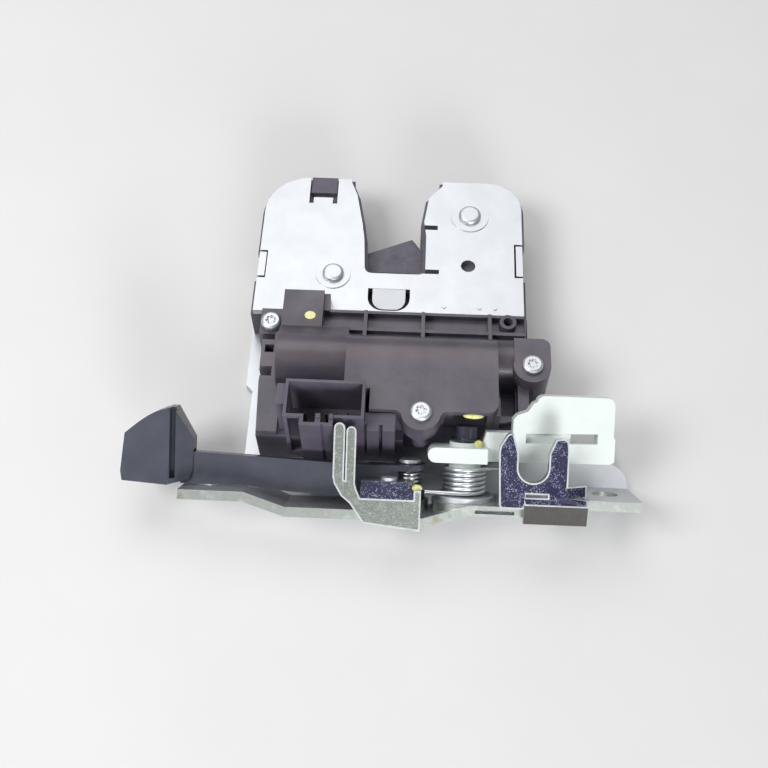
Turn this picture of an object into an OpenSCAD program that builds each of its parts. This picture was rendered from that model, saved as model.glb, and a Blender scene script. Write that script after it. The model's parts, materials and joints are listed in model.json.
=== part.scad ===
// Tailgate latch: a rotary catch and pawl between a zinc lock plate and a folded mounting frame,
// a moulded drive housing with motor and connector, and the hand release group on the frame's flange.
// The frame lies on the plane Z = 0. +Y is the way the striker leaves, +X is to the right of it.
// The origin is the axis of the striker bar when it is latched.

/* [Mounting frame] */
// Thickness of the frame sheet
frame_t = 2.5; // [1.5:0.1:3]
// Left edge of the frame from the striker axis
frame_left = 40; // [39:0.5:46]
// Right edge of the frame from the striker axis
frame_right = 38.5; // [38:0.5:44]
// Distance from the striker axis to the bend of the flange
bend_y = 65.4; // [65:0.2:72]
// Angle of the flange to the frame plate, in degrees
flange_a = 55; // [50:1:60]
// Width of the flange from the bend to its free edge
flange_w = 19; // [18:0.5:22]
// Outer end of the right ear
ear_right = 64.6; // [62:0.2:70]
// Outer end of the left ear
ear_left = 51.4; // [51:0.2:56]
// Radius of the mounting holes in the two ears
ear_hole_r = 3.3; // [2.5:0.1:4]
// Distance of the mounting holes from the bend
ear_hole_w = 9; // [7:0.2:12]

/* [Lock plate] */
// Thickness of the lock plate
plate_t = 2; // [1.5:0.1:2.5]
// Height of the underside of the lock plate
plate_z = 13; // [12.6:0.1:16]
// Left edge of the lock plate
plate_left = 38.6; // [37:0.2:40]
// Right edge of the lock plate
plate_right = 36.9; // [35:0.2:38]
// Upper edge of the two lobes beside the throat
plate_top = 27.4; // [26:0.2:32]
// Lower edge of the lock plate
plate_low = 21; // [20:0.2:21.4]
// Radius of the outer upper corner of the left lobe
lobe_left_r = 13; // [8:0.5:14]
// Radius of the outer upper corner of the right lobe
lobe_right_r = 10; // [6:0.5:12]
// Half width of the throat at its closed end
throat_half = 8.2; // [7.8:0.1:9]
// Depth of the throat below the striker axis
throat_low = 7; // [6.6:0.1:8]
// Radius of the gauge hole
gauge_r = 2.05; // [1.5:0.05:3]

/* [Catch and pawl] */
// Catch pivot, distance to the left of the striker axis
catch_x = 17; // [16:0.1:18]
// Catch pivot, distance below the striker axis
catch_y = 7.9; // [7:0.1:9]
// Outer radius of the catch
catch_r = 28.2; // [26:0.1:28.4]
// Radius of the catch hub
catch_hub_r = 11; // [9:0.2:12]
// Thickness of the catch and of the pawl
catch_t = 5; // [3:0.1:5.4]
// Angle that the catch turns through from open to latched
catch_turn = 40; // [38:1:42]
// Radius of the catch rivet's shank
catch_pin_r = 5; // [4:0.1:5.6]
// Radius of the slot that takes the striker bar
striker_slot_r = 5.2; // [4.8:0.1:5.6]
// Pawl pivot, distance to the right of the striker axis
pawl_x = 21.7; // [21:0.1:22.5]
// Pawl pivot, distance above the striker axis
pawl_y = 14.4; // [13.5:0.1:15]
// Radius of the pawl hub
pawl_hub_r = 6.5; // [5.5:0.1:7]
// Radius of the pawl rivet's shank
pawl_pin_r = 4; // [3:0.1:4.5]
// Radial play of a part that turns on its pin
run_gap = 0.05; // [0.02:0.01:0.1]
// Play between a moving part and its pocket
move_gap = 0.4; // [0.3:0.05:0.6]

/* [Drive housing] */
// Wall thickness of the plastic mouldings
wall = 1.8; // [1.4:0.1:2.2]
// Front wall of the base on the left, distance below the striker axis
base_front = 60; // [59:0.2:60.4]
// Front wall of the base on the right
base_recess = 55.4; // [55:0.1:56]
// Top of the raised cover box
cover_top = 26; // [25:0.2:28]
// Outer radius of the motor dome
dome_r = 7.6; // [7.4:0.1:8]
// Length of the motor dome
dome_len = 18.6; // [18:0.2:20]
// Radius of the motor can
motor_r = 5.5; // [5:0.1:5.6]
// Height of the motor axis over the parting line
motor_up = 2.5; // [2:0.1:3]
// Distance of the motor axis below the striker axis
motor_y = 38.3; // [38:0.1:38.8]

/* [Connector] */
// Width of the connector shroud
conn_w = 20.2; // [18:0.2:20.6]
// Depth of the connector shroud
conn_d = 10.7; // [10:0.1:11]
// Top of the connector shroud
conn_top = 29.5; // [27:0.1:32]
// Wall of the connector shroud
conn_wall = 0.8; // [0.7:0.1:1.2]
// Number of contact pins
pin_count = 5; // [3:1:6]
// Distance between two contact pins
pin_pitch = 2.8; // [2.4:0.1:3.2]

/* [Cable release] */
// Distance of the lever pivot from the middle of the latch
lever_x = 20.7; // [20:0.1:21.5]
// Distance of the lever pivot from the bend of the flange
lever_w = 10.5; // [10:0.1:11]
// Radius of the lever hub
lever_hub_r = 6.1; // [5:0.1:6.3]
// Underside of the lever over the flange
lever_low = 7.7; // [7:0.1:8]
// Outer end of the lever
lever_end = 58.2; // [56:0.2:61]
// Radius of the lever pin
lever_pin_r = 2.5; // [2:0.1:3]
// Width of the cable fork
fork_w = 17.3; // [16.8:0.1:19]
// Height of the cable fork over its base
fork_h = 18.8; // [16:0.1:20]
// Width of the notch for the cable sleeve
notch_w = 7.5; // [6:0.1:9]
// Sheet thickness of the fork and of the arm bracket
fork_t = 2; // [1.5:0.1:2.4]

/* [Emergency arm] */
// Distance of the arm pivot from the middle of the latch
arm_x = 6.7; // [6:0.1:7.4]
// Distance of the arm pivot from the bend of the flange
arm_w = 8; // [7.5:0.1:8.4]
// Height of the arm's bar
arm_h = 8.4; // [7:0.1:9]
// Thickness of the arm's bar
arm_t = 3; // [2.4:0.1:3.4]
// Left end of the bar, where the wedge begins
arm_left = 49; // [46:0.2:51]
// Length of the wedge's base
wedge_len = 17.6; // [16:0.2:20]
// Height of the wedge
wedge_h = 19.6; // [16:0.2:21]
// Radius of the arm pin
arm_pin_r = 1.8; // [1.4:0.1:2.2]

/* [Hidden] */
$fn = 40;

eps = 0.01;
// clearance of pressed and bolted shanks in their holes
bolt_gap = 0.15;
// play of a seated piece beside the wall that holds it
seat_gap = 0.1;

zinc = "#c9ccd0";
steel = "#b4b6b9";
black = "#222227";
plum = "#3a343c";
nylon = "#eef0ee";
brass = "#c9a24a";
rubber = "#18181a";

// heights of the catch layer
catch_z = frame_t + 2;
catch_top = catch_z + catch_t;
pocket_z = catch_top + 0.5;

catch_p = [-catch_x, -catch_y];
pawl_p = [pawl_x, pawl_y];
striker_dist = norm(catch_p);
// angle of the slot in the open catch
slot_a = atan2(catch_y, catch_x) + catch_turn;
slot_c = catch_p + striker_dist * [cos(slot_a), sin(slot_a)];
slot_flare_a = 24;
prong_low_a = 10;
prong_top_a = 100;

// parting line between base and cover, level with the lock plate
part_z = plate_z + plate_t;
motor_z = part_z + motor_up;

// places of the three cover screws: [x, y, height of the head's seat]
screw_left = [-32.6, -26.5, part_z + 2.4];
screw_right = [37.7, -40.8, part_z + 8];
screw_front = [8.9, -57.5, cover_top];
screw_r = 1.5;

// hollow guide peg beside the lock plate
peg = [32.1, -24];
peg_r = 2.3;

screw_head_r = 2.75;
screw_head_h = 1.5;
// radius of the lug around the right screw and of the tab around the front one
lug_r = 4.9;
tab_r = 5;
tab_fillet = 2;
screw_len = 12;

// raised cover box
box_left = -11;
box_right = 28.5;
box_back = -39.2;
// radius of the box's round back
back_r = 7.6;
box_front = -57;
boss_low = cover_top - 5.6;
box_step = -4.2;

// connector place
conn_x = -15.3;
conn_y = -56.4;
conn_low = 8;
conn_floor = part_z + 0.6;

// front of the box behind the connector
box_side = conn_y + conn_d / 2 + 0.15;

// worm and gear
worm_r = 2.6;
worm_from = 7;
worm_to = 23.4;
gear_r = 5.9;
mesh_gap = 0.3;
gear_x = 16;
gear_y = -(motor_y + worm_r + gear_r + mesh_gap);
gear_teeth = 20;
gear_t = 4;
axle_r = 1.5;

// slider that links the drive with the pawl
slider_x = pawl_x + 7;
slider_w = 3.6;
slider_z = catch_z + 0.1;
slider_t = 2.4;
cam_r = 4;
cam_peg_r = 1.5;
slider_down = 0.9;
slider_foot_y = gear_y + cam_r + cam_peg_r + slider_down + 0.3;
foot_x0 = 13;
foot_x1 = 19;
link_pin_r = 1.4;
link_p = [slider_x, pawl_y - 2.4];

// release slot and block of the lever, heights over the flange
lever_t = 3.8;
lever_mid = 15.4;
block_from = 38.2;
block_top = 25.1;
lever_back = lever_w - 2.7;
lever_front = lever_w + 2.4;

// upper surface of the flange along X: [x, height over the flange plane]
flange_line = [[-ear_left, -1.2], [-35, -1.2], [-24.4, -4.6], [5, -4.6], [10, -6.2], [22, -2.4], [47.6,
    -2.4],
    [51.4, 0], [ear_right, 0]];
flat_v = -2.4;
centre_v = -4.6;
fork_x = 37;
front_w = flange_w + 0.2;
ear_l_x = -45;
ear_r_x = 57;
seat_v = -1.0;
hub_seat_v = centre_v + 1.4;

// turns a flange place (x, height, distance from the bend) to the part's frame
module on_flange() translate([0, -bend_y, frame_t]) rotate([-flange_a, 0, 0]) children();

// a standing pin or disc on the flange, from height v0 to v1
module flange_disc(x, w, r, v0, v1) translate([x, -w, v0]) cylinder(r = r, h = v1 - v0);

// a side profile in (x, height), as deep as from w0 to w1
module flange_slab(w0, w1) translate([0, -w0, 0]) rotate([90, 0, 0]) linear_extrude(w1 - w0) children();

module block(x0, x1, y0, y1, z0, z1) translate([x0, y0, z0]) cube([x1 - x0, y1 - y0, z1 - z0]);

module post(p, r, z0, z1) translate([p[0], p[1], z0]) cylinder(r = r, h = z1 - z0);

function arc(c, r, a0, a1, n) = [for (i = [0:n]) c + r * [cos(a0 + (a1 - a0) * i / n),
    sin(a0 + (a1 - a0) * i / n)]];

function lower(line, t) = [for (i = [len(line) - 1:-1:0]) [line[i][0], line[i][1] - t]];

function unit(v) = v / norm(v);

// one ring of a wire whose route never runs straight up
function wire_ring(c, t, r, n) = let (s = unit(cross(t, [0, 0, 1])), u = cross(s, t))
    [for (i = [0:n - 1]) c + r * (cos(360 * i / n) * s + sin(360 * i / n) * u)];

// a round wire swept along a list of points
module wire(path, r, n = 8) {
    last = len(path) - 1;
    points = [for (i = [0:last]) let (t = unit(path[min(i + 1, last)] - path[max(i - 1, 0)]))
        each wire_ring(path[i], t, r, n)];
    sides = [for (i = [0:last - 1], j = [0:n - 1]) [i * n + j, (i + 1) * n + j, (i + 1) * n + (j + 1) % n,
        i * n + (j + 1) % n]];
    polyhedron(points, concat(sides, [[for (j = [0:n - 1]) j]], [[for (j = [n - 1:-1:0]) last * n + j]]));
}

// centre line of a torsion spring: coil from angle a0, with a straight leg at each end
function coil_route(r, turns, pitch, a0, leg_in, leg_out) = let (steps = ceil(turns * 16),
    a1 = a0 + 360 * turns)
    concat([[r * cos(a0) + leg_in * sin(a0), r * sin(a0) - leg_in * cos(a0), 0]],
        [for (i = [0:steps]) let (a = a0 + 360 * turns * i / steps) [r * cos(a), r * sin(a),
            pitch * turns * i / steps]],
        [[r * cos(a1) - leg_out * sin(a1), r * sin(a1) + leg_out * cos(a1), pitch * turns]]);

// outline of the throat, opened by a margin towards the outside
module throat(m) polygon(concat([[13.6 + m, 40], [13.6 + m, plate_top - 1.5], [9.6 + m, 21], [8.4 + m,
    12]],
    [[throat_half + 0.9 + m, 7]],
    arc([throat_half - 1.1 + m, 2 - throat_low - m], 2, 0, -90, 4),
    arc([2 - throat_half - m, 2 - throat_low - m], 2, -90, -180, 4),
    [[-8.8 - m, 5], [-9.6 - m, 10.5], [-11.7 - m, 21.3], [-13.6 - m, plate_top - 1.2], [-13.6 - m, 40]]));

module lobe_outline(grow) polygon(concat(
    [[-plate_left - grow, -plate_low]],
    arc([lobe_left_r - plate_left, plate_top - lobe_left_r], lobe_left_r + grow, 180, 90, 10),
    arc([plate_right - lobe_right_r, plate_top - lobe_right_r], lobe_right_r + grow, 90, 0, 10),
    [[plate_right + grow, -plate_low]]));

clip_x = [-25.9, -17.6];
clip_y = plate_top - 9.6;

module lock_plate_outline() difference() {
    lobe_outline(0);
    throat(0);
    // notch of the moulded clip, with its two relief legs
    translate([clip_x[0], clip_y + 2.2]) square([clip_x[1] - clip_x[0], 20]);
    for (x = [clip_x[0], clip_x[1] - 1.3]) translate([x, clip_y]) square([1.3, 4]);
    // side notches, and the relief slots of the throat's right side
    translate([-plate_left - 5, -9.8]) square([7.3, 9.6]);
    translate([plate_right - 2.4, -7]) square([5, 11.8]);
    translate([throat_half, 9.2]) square([4.2, 1.6]);
    translate([throat_half - 0.4, -6.6]) square([5.2, 1.5]);
}

louver = [-6.8, 5, -19.7, -12.3];

// outline of the louver with its two round lower corners, smaller by a margin
module louver_outline(m, top) polygon(concat([[louver[0] + m, louver[3] + top]],
    arc([louver[0] + 4.2, louver[2] + 4.2], 4.2 - m, 180, 270, 6),
    arc([louver[1] - 4.2, louver[2] + 4.2], 4.2 - m, 270, 360, 6), [[louver[1] - m, louver[3] + top]]));

module lock_plate() color(zinc) difference() {
    union() {
        translate([0, 0, plate_z]) linear_extrude(plate_t) difference() {
            lock_plate_outline();
            louver_outline(0, 0);
        }
        // tongue of the louver, bent inwards
        translate([0, louver[3], plate_z + plate_t]) rotate([14, 0, 0])
            translate([0, -louver[3], -1.3]) linear_extrude(1.2) louver_outline(1.25, 0.5);
        // pressed rings around the two rivets
        post(catch_p, 4.9, plate_z + plate_t - eps, plate_z + plate_t + 0.3);
        post(pawl_p, 5.5, plate_z + plate_t - eps, plate_z + plate_t + 0.3);
        // small pressed marks along the lower edge
        for (x = [14.5, 24.4, 28.7]) post([x, -17.6], 0.7, plate_z + plate_t - eps,
            plate_z + plate_t + 0.25);
    }
    post(catch_p, rivet_neck_r + bolt_gap, plate_z - 1, plate_z + 5);
    post(pawl_p, rivet_neck_r + bolt_gap, plate_z - 1, plate_z + 5);
    post([21.3, -3.4], gauge_r, plate_z - 1, plate_z + 5);
}

rivet_neck_r = 2.4;

// y of the frame plate's front edge below each point of the flange line
function front_edge(v) = -bend_y - 0.4 + v * (sin(flange_a) + pow(cos(flange_a), 2) / sin(flange_a));

module frame_outline() difference() {
    union() {
        polygon(concat(arc([8 - frame_left, 16], 8, 180, 90, 6), arc([frame_right - 8, 16], 8, 90, 0, 6),
            [[frame_right, 5], [frame_right, -56]], arc([ear_right - 5.5, -63.5], 5.5, 90, 0, 6),
            [for (i = [len(flange_line) - 1:-1:1]) [flange_line[i][0], front_edge(flange_line[i][1])]],
            [[1 - ear_left, front_edge(flange_line[0][1])]],
            [[1 - ear_left, -63], [-ear_left + 3.6, -60], [-38, -60], [-38, -40], [-frame_left, -38]]));
    }
    throat(2);
}

module mounting_frame() color(zinc) difference() {
    union() {
        linear_extrude(frame_t) frame_outline();
        // inclined flange: one profile along its whole length, cut off at the frame plate
        intersection() {
            on_flange() union() {
                flange_slab(-1.4, flange_w) polygon(concat(flange_line, lower(flange_line, frame_t)));
                intersection() {
                    flange_disc(lever_x, lever_w, 8.2, -7, flat_v - 0.02);
                    flange_slab(0, flange_w - 0.2) polygon([[12, -6.8], [22, -3.4], [29.5, -3.4],
                        [29.5, 0], [12, 0]]);
                }
                flange_disc(arm_x, arm_w, 5, -7, hub_seat_v);
                // raised pad under the arm bracket
                flange_slab(13.4, 16.6) translate([-5.4, centre_v - 1]) square([12.4,
                    pad_v - centre_v + 1]);
            }
            block(-80, 80, -100, -40, 0, 60);
        }
        // side tabs that grip the lock plate
        block(plate_right - 1.9, plate_right, -6.4, 4.2, frame_t - eps, plate_z + plate_t);
        block(-plate_left, 2 - plate_left, -9.2, -0.8, frame_t - eps, plate_z + plate_t);
    }
    // lanced slot in the free edge
    on_flange() flange_slab(flange_w - 3, flange_w + 1) translate([23.2, flat_v - 2]) square([9.8, 0.9]);
    for (x = [ear_l_x, ear_r_x]) on_flange() flange_disc(x, ear_hole_w, ear_hole_r, -8, 5);
    on_flange() flange_disc(lever_x, lever_w, lever_pin_r + bolt_gap, -12, 5);
    on_flange() flange_disc(arm_x, arm_w, arm_pin_r + bolt_gap, -14, 5);
    for (x = fork_rivet_x) on_flange() flange_disc(x, fork_rivet_w, 1.2 + bolt_gap, -8, 5);
    on_flange() flange_disc(bracket_rivet_x, bracket_rivet_w, 1.2 + bolt_gap, -10, 5);
    post(catch_p, rivet_neck_r + bolt_gap, -1, frame_t + 1);
    post(pawl_p, rivet_neck_r + bolt_gap, -1, frame_t + 1);
}

pad_v = 0.4;
fork_rivet_x = [33, 44.8];
fork_rivet_w = 14;
bracket_rivet_x = 1.5;
bracket_rivet_w = 15.5;

module sector(c, r, a0, a1, n = 24) translate(c) polygon(concat([[0, 0]], arc([0, 0], r, a0, a1, n)));

// pocket of the catch and pawl, open towards the frame plate
module mechanism_pocket() {
    sector(catch_p, catch_r + move_gap, prong_low_a - catch_turn - 2, prong_top_a + 2, 36);
    translate(catch_p) circle(r = catch_hub_r + move_gap);
    translate(pawl_p) circle(r = pawl_hub_r + move_gap + 0.3);
    polygon([[7, -12], [19.6, -12], [28, 4], [28, 17], [15, 19], [9.4, 7]]);
    // path of the pawl's tail and of the slider
    polygon([[pawl_x, pawl_y + 5], [slider_x + 3.6, pawl_y + 2.6], [slider_x + 3.6, pawl_y - 7.4],
        [pawl_x, pawl_y - 7]]);
    translate([slider_x - slider_w / 2 - move_gap, slider_foot_y - 1.6])
        square([slider_w + 2 * move_gap, pawl_y - slider_foot_y + 4.4]);
}

module base_outline() polygon([[-36, -plate_low - seat_gap], [-36, -29.2], [-35, -29.8], [-34.8, -40],
    [-33.8, -base_front],
    [4.6, -base_front], [4.6, -base_recess], [31, -base_recess],
    [37.6, 1.8 - base_recess], [37.6, -plate_low - seat_gap]]);

// lug of the right cover screw, with a round upper corner
module lug_outline() {
    translate([screw_right[0], screw_right[1]]) circle(r = lug_r);
    polygon(concat([[33, screw_right[1]], [screw_right[0] + lug_r, screw_right[1]]],
        arc([screw_right[0] + lug_r - 2.3, -34.6], 2.3, 0, 90, 5), [[33, -32.3]]));
}

module connector_shell() {
    block(conn_x - conn_w / 2, conn_x + conn_w / 2, conn_y - conn_d / 2, conn_y + conn_d / 2, conn_low,
        conn_top);
    // latch rib at the left and coding ribs under the front rim
    block(conn_x - conn_w / 2 - 2.2, conn_x - conn_w / 2 + eps, conn_y - 1.5, conn_y + 4.5, part_z,
        conn_top - 1);
    // raised middle of the front wall with its two hooks
    block(conn_x - 5.9, conn_x + 2.5, conn_y - conn_d / 2 - 2.2, conn_y, conn_low, conn_top - 0.3);
    for (x = [-1.7, 1.5]) block(conn_x + x, conn_x + x + 1, conn_y - conn_d / 2 - 0.2,
        conn_y - conn_d / 2 + 1, conn_low + 5, conn_top + 0.5);
}

module connector_mouth() {
    block(conn_x - conn_w / 2 + conn_wall, conn_x + conn_w / 2 - conn_wall,
        conn_y - conn_d / 2 + conn_wall,
        conn_y + conn_d / 2 - conn_wall, conn_floor, conn_top + 1);
    // run of the mate's latch between the hooks, and the joint between the two front panels
    block(conn_x - 0.6, conn_x + 1.4, conn_y - conn_d / 2 - 1.3, conn_y, conn_floor, conn_top + 1);
    block(conn_x - 4.9, conn_x - 2, conn_y - conn_d / 2 - 1.3, conn_y - conn_d / 2 + 0.9, conn_floor + 6,
        conn_top + 1);
    block(conn_x - 0.5, conn_x + 0.1, conn_y - conn_d / 2 - 3, conn_y - conn_d / 2 - 1.7, conn_low - 1,
        conn_top + 1);
    // window in the front wall beside it, with a groove below
    block(conn_x - conn_w / 2 + 1, conn_x - 6.4, conn_y - conn_d / 2 - 1, conn_y, conn_floor,
        conn_top - 1.2);
    block(conn_x - conn_w / 2 + 1, conn_x - 6.4, conn_y - conn_d / 2 - 1, conn_y - conn_d / 2 + 1.4,
        conn_low + 2, conn_floor + 0.5);
}

base_floor = pocket_z + 0.9;

module housing_base() color(black) difference() {
    union() {
        translate([0, 0, frame_t]) linear_extrude(plate_z - frame_t) difference() {
            lobe_outline(0.8);
            throat(-0.9);
        }
        // clip over the edge of the lock plate
        block(clip_x[0] + 0.3, clip_x[1] - 0.3, clip_y + 4.4, plate_top + 0.7, frame_t, part_z - 0.6);
        translate([0, 0, frame_t]) linear_extrude(plate_z - frame_t) translate([0, 1]) base_outline();
        translate([0, 0, frame_t]) linear_extrude(part_z - frame_t) base_outline();
        // lug under the right cover screw, post under the front one, guide peg beside the lock plate
        translate([0, 0, frame_t + 3]) linear_extrude(part_z - frame_t - 3) lug_outline();
        block(32, screw_right[0], screw_right[1] - 4.7, screw_right[1] + 4.7, frame_t + 3, part_z);
        post(screw_front, 2.4, part_z - 4, boss_low);
        block(4, screw_front[0], screw_front[1] + 1.1, -48, frame_t + 5, part_z);
        post(peg, peg_r, frame_t, part_z + 3);
        connector_shell();
        // upright plates beside the connector
        for (x = [-4.6, -0.6]) block(x, x + 3.1, -62.4, -base_front + 1, base_floor - 1, cover_top - 1.4);
        block(-5.2, 2.6, -base_front - 0.6, box_front - 0.3, base_floor - 3, cover_top - 1.4);
    }
    translate([0, 0, frame_t - 1]) linear_extrude(pocket_z - frame_t + 1) mechanism_pocket();
    // wells of the two torsion springs and passages of the rivets
    post(catch_p, 8.9, pocket_z - 1, plate_z + 1);
    post(pawl_p, 7.4, pocket_z - 1, plate_z + 1);
    // room below the louver's tongue and behind the side tabs of the frame
    block(louver[0] - 0.3, louver[1] + 0.3, louver[2] - 1, louver[3] + 0.6, plate_z - 2.2, plate_z + 1);
    block(plate_right - 2.2, plate_right + 5, -7, 4.8, 0, plate_z + 5);
    block(-plate_left - 5, 2.3 - plate_left, -9.8, -0.2, 0, plate_z + 5);
    // seat of the throat buffer
    block(-5.3, 5.3, -8.7, -5, plate_z - 2.3, plate_z + 1);
    // electrical space: motor bed, gear room, strips under the connector
    difference() {
        union() {
            block(-30.2, -3.4, -50, -32, base_floor, part_z + 1);
            block(-32.2, -30, -50, -46, base_floor, part_z + 1);
        }
        for (x = [-27, -18]) block(x, x + 2, -motor_y - 4, 4 - motor_y, 0, motor_z - 5.15);
    }
    difference() {
        block(-4, 28.8, wall - base_recess, -34.8, base_floor, part_z + 1);
        block(-5, 4.6 + wall, -80, wall - base_front, base_floor - 1, part_z + 2);
    }
    // room in the front wall for the cable lever and its hub
    on_flange() translate([lever_x - 6, -lever_front, lever_low - move_gap])
        cube([lever_end - lever_x + 6, lever_front - lever_back + move_gap, lever_mid - lever_low +
            2 * move_gap]);
    on_flange() flange_disc(lever_x, lever_w, lever_hub_r + move_gap, lever_low - move_gap,
        lever_low + lever_t + move_gap);
    block(pin_at(0) - 1, pin_at(pin_count - 1) + 1, conn_y - 1.2, -49, base_floor, base_floor + 1.8);
    block(-28.4, -18.4, -34, -22.6, base_floor, part_z + 1);
    // deep slot beside the raised box
    block(30, 33.9, 2.6 - base_recess, -43, base_floor + 0.6, part_z + 1);
    // path of the slider's foot, and the hole for its upright
    block(foot_x0 - move_gap, slider_x + slider_w / 2 + move_gap, slider_foot_y - 1.6,
        slider_foot_y + 3.8, frame_t - 1,
        slider_z + slider_t + 0.6);
    block(foot_x0 - move_gap, foot_x1 + move_gap, slider_foot_y - 1.6, slider_foot_y + 3.8,
        frame_t - 1, part_z + 1);
    connector_mouth();
    for (i = [0:pin_count - 1]) block(pin_at(i) - 0.45, pin_at(i) + 0.45, conn_y - 0.45, conn_y + 0.45,
        base_floor,
        conn_top);
    for (s = [screw_left, screw_right, screw_front]) post(s, screw_r, s[2] - screw_len - 0.5,
        cover_top + 9);
    post(peg, peg_r - 1, part_z - 3, part_z + 9);
    // moulded pockets along the left wall
    for (s = side_pockets) block(s[0], s[1], s[2], s[3], frame_t + 3, part_z + 1);
    post([gear_x, gear_y], axle_r + 0.02, base_floor - 4, part_z);
}

function pin_at(i) = conn_x + (i - (pin_count - 1) / 2) * pin_pitch;

// pockets along the left wall of base and cover: [left, right, front, back]
side_pockets = [[-37, -31.2, -31.8, -29.9], [-33.6, -31.2, -35.8, -33.4], [-37, -31.2, -43.2, -40.2]];

// outline of the low step that closes the base around the raised box
module step_outline() polygon([[-35.6, -plate_low - 0.7], [37, -plate_low - 0.7],
    [37, 2.2 - base_recess], [30.6, 0.6 - base_recess], [-3, 0.6 - base_recess], [-3, box_side],
    [-28.2, box_side], [-28.2, 0.2 - base_front], [-33.5, 0.2 - base_front], [-34.4, -40],
    [-34.7, -29.8], [-35.6, -29.2]]);

// a profile in (y, z), as long as from x0 to x1
module along_x(x0, x1) translate([x0, 0, 0]) rotate([90, 0, 90]) linear_extrude(x1 - x0) children();

// rounded tab of the front screw, with a fillet on each side into the front wall
module tab_outline() {
    down = screw_front[1] + tab_fillet - box_front;
    side = sqrt(pow(tab_r + tab_fillet, 2) - pow(down, 2));
    turn = atan2(down, side);
    translate([screw_front[0], screw_front[1]]) circle(r = tab_r);
    polygon(concat([[screw_front[0] - side, box_front + 1]],
        arc([screw_front[0] - side, box_front - tab_fillet], tab_fillet, 90, turn, 5),
        [[screw_front[0], screw_front[1]]],
        arc([screw_front[0] + side, box_front - tab_fillet], tab_fillet, 180 - turn, 90, 5),
        [[screw_front[0] + side, box_front + 1]]));
}

// raised box: its front steps back behind the connector
module box_outline(m) polygon(concat([[box_left + m, box_back - m], [box_left + m, box_side + m],
    [box_step + m, box_side + m], [box_step + m, box_front + m]],
    arc([box_right - 3, box_front + 3], 3 - m, -90, 0, 5), [[box_right - m, box_back - m]]));

module housing_cover() color(plum) difference() {
    union() {
        translate([0, 0, part_z]) linear_extrude(2) step_outline();
        // upper block over the edge of the lock plate, with its lower ledge
        block(-29.5, -18.5, -29.1, -plate_low - 0.7, part_z, part_z + 5);
        block(-29.5, -18.5, -plate_low - 1, -17.1, part_z + seat_gap, part_z + 5);
        block(-18.6, -16.9, -23.4, -17.1, part_z + seat_gap, part_z + 3.4);
        // dome over the motor
        intersection() {
            union() {
                along_motor(box_left - dome_len) cylinder(r = dome_r, h = dome_len + 1);
                along_motor(box_left - 1.1) cylinder(r = dome_r + 0.3, h = 1.4);
                // flat slope from the dome up to the upper block
                along_x(box_left - dome_len, box_left + 0.1) polygon([[-motor_y, part_z], [-29, part_z],
                    [-29, 20.1], [dome_r * cos(55) - motor_y, motor_z + dome_r * sin(55)],
                    [-motor_y, motor_z]]);
            }
            block(-60, 60, -60, -20, part_z, 60);
        }
        // round back of the raised box
        along_x(box_left, box_right) polygon(concat([[box_back - 1, part_z], [-29, part_z], [-29,
            part_z + 2.6]], arc([box_back, cover_top - back_r], back_r, 12, 90, 9), [[box_back - 1,
            cover_top]]));
        translate([0, 0, part_z]) linear_extrude(cover_top - part_z) box_outline(0);
        // bulge, slanted wall and right lug
        intersection() {
            translate([28, -36.4, part_z + 1.4]) rotate([0, 90, 0]) cylinder(r = 6.4, h = 6.8);
            block(20, 50, -60, -20, part_z, 60);
        }
        translate([0, 0, part_z]) linear_extrude(4) polygon([[34.2, -42], [37.2, -42.6], [37, -50.6],
            [35.4, -52.8], [34.2, -52.8]]);
        translate([0, 0, part_z]) linear_extrude(screw_right[2] - part_z) lug_outline();
        // upright fin at the right front corner
        block(27.2, 29.2, -56.3, -51, part_z + 1, part_z + 8.4);
        // bosses of the left and front screws, round rib at the front
        post(screw_left, 3, part_z, screw_left[2]);
        translate([0, 0, boss_low]) linear_extrude(cover_top - boss_low) tab_outline();
        // ribs of the low step
        block(-18.6, 36.6, -29.1, -28.1, part_z, part_z + 4);
        for (x = rib_places) {
            block(x, x + 1, -29, -22.4, part_z, part_z + 4);
            block(x, x + 1, -32.4, -28.6, part_z, part_z + 5.2);
        }
        block(-16.9, 36.6, -22.6, -plate_low - 0.7, part_z, part_z + 2.6);
    }
    // open cells between the ribs
    for (i = [0:3]) block(cell_edges[i] + (i == 0 ? 0 : 1), cell_edges[i + 1], -28.1, -22.6,
        part_z + 0.8, part_z + 6);
    // hollow of the raised box, the worm tunnel, the dome and the upper block
    difference() {
        translate([0, 0, part_z - 1]) linear_extrude(cover_top - part_z - 1) box_outline(wall);
        block(niche[0] - 1.4, niche[1] + 4, -60, niche[2] + wall, part_z - 2, cover_top + 1);
    }
    // niche of the lever pin's head in the front wall
    block(niche[0], niche[1], -60, niche[2], part_z - 1, cover_top - 1.6);
    block(box_left + wall, worm_to + 3.2, box_back - 4, -35.4, part_z - 1, motor_z + 4.2);
    along_motor(box_left - dome_len + wall) cylinder(r = motor_r + 0.35, h = dome_len + 1);
    block(box_left - dome_len + wall, box_left + 3, -motor_y - motor_r - 0.35, -motor_y + motor_r + 0.35,
        part_z - 1, motor_z);
    block(-28, -19.6, -26.8, -23.4, part_z - 1, part_z + 3.4);
    // passages of the guide peg, the screws and the base's front post
    post(peg, peg_r + seat_gap, part_z - 1, part_z + 9);
    for (s = [screw_left, screw_right, screw_front]) post(s, screw_r + bolt_gap, part_z - 1,
        cover_top + 9);
    post(screw_front, 2.4 + seat_gap, part_z - 1, boss_low);
    // dark slot beside the raised box
    block(29.4, 34.2, 2.6 - base_recess, -42.9, part_z - 1, part_z + 3);
    // pockets along the left wall
    for (s = side_pockets) block(s[0], s[1], s[2], s[3], part_z - 1, part_z + 3);
}

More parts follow.
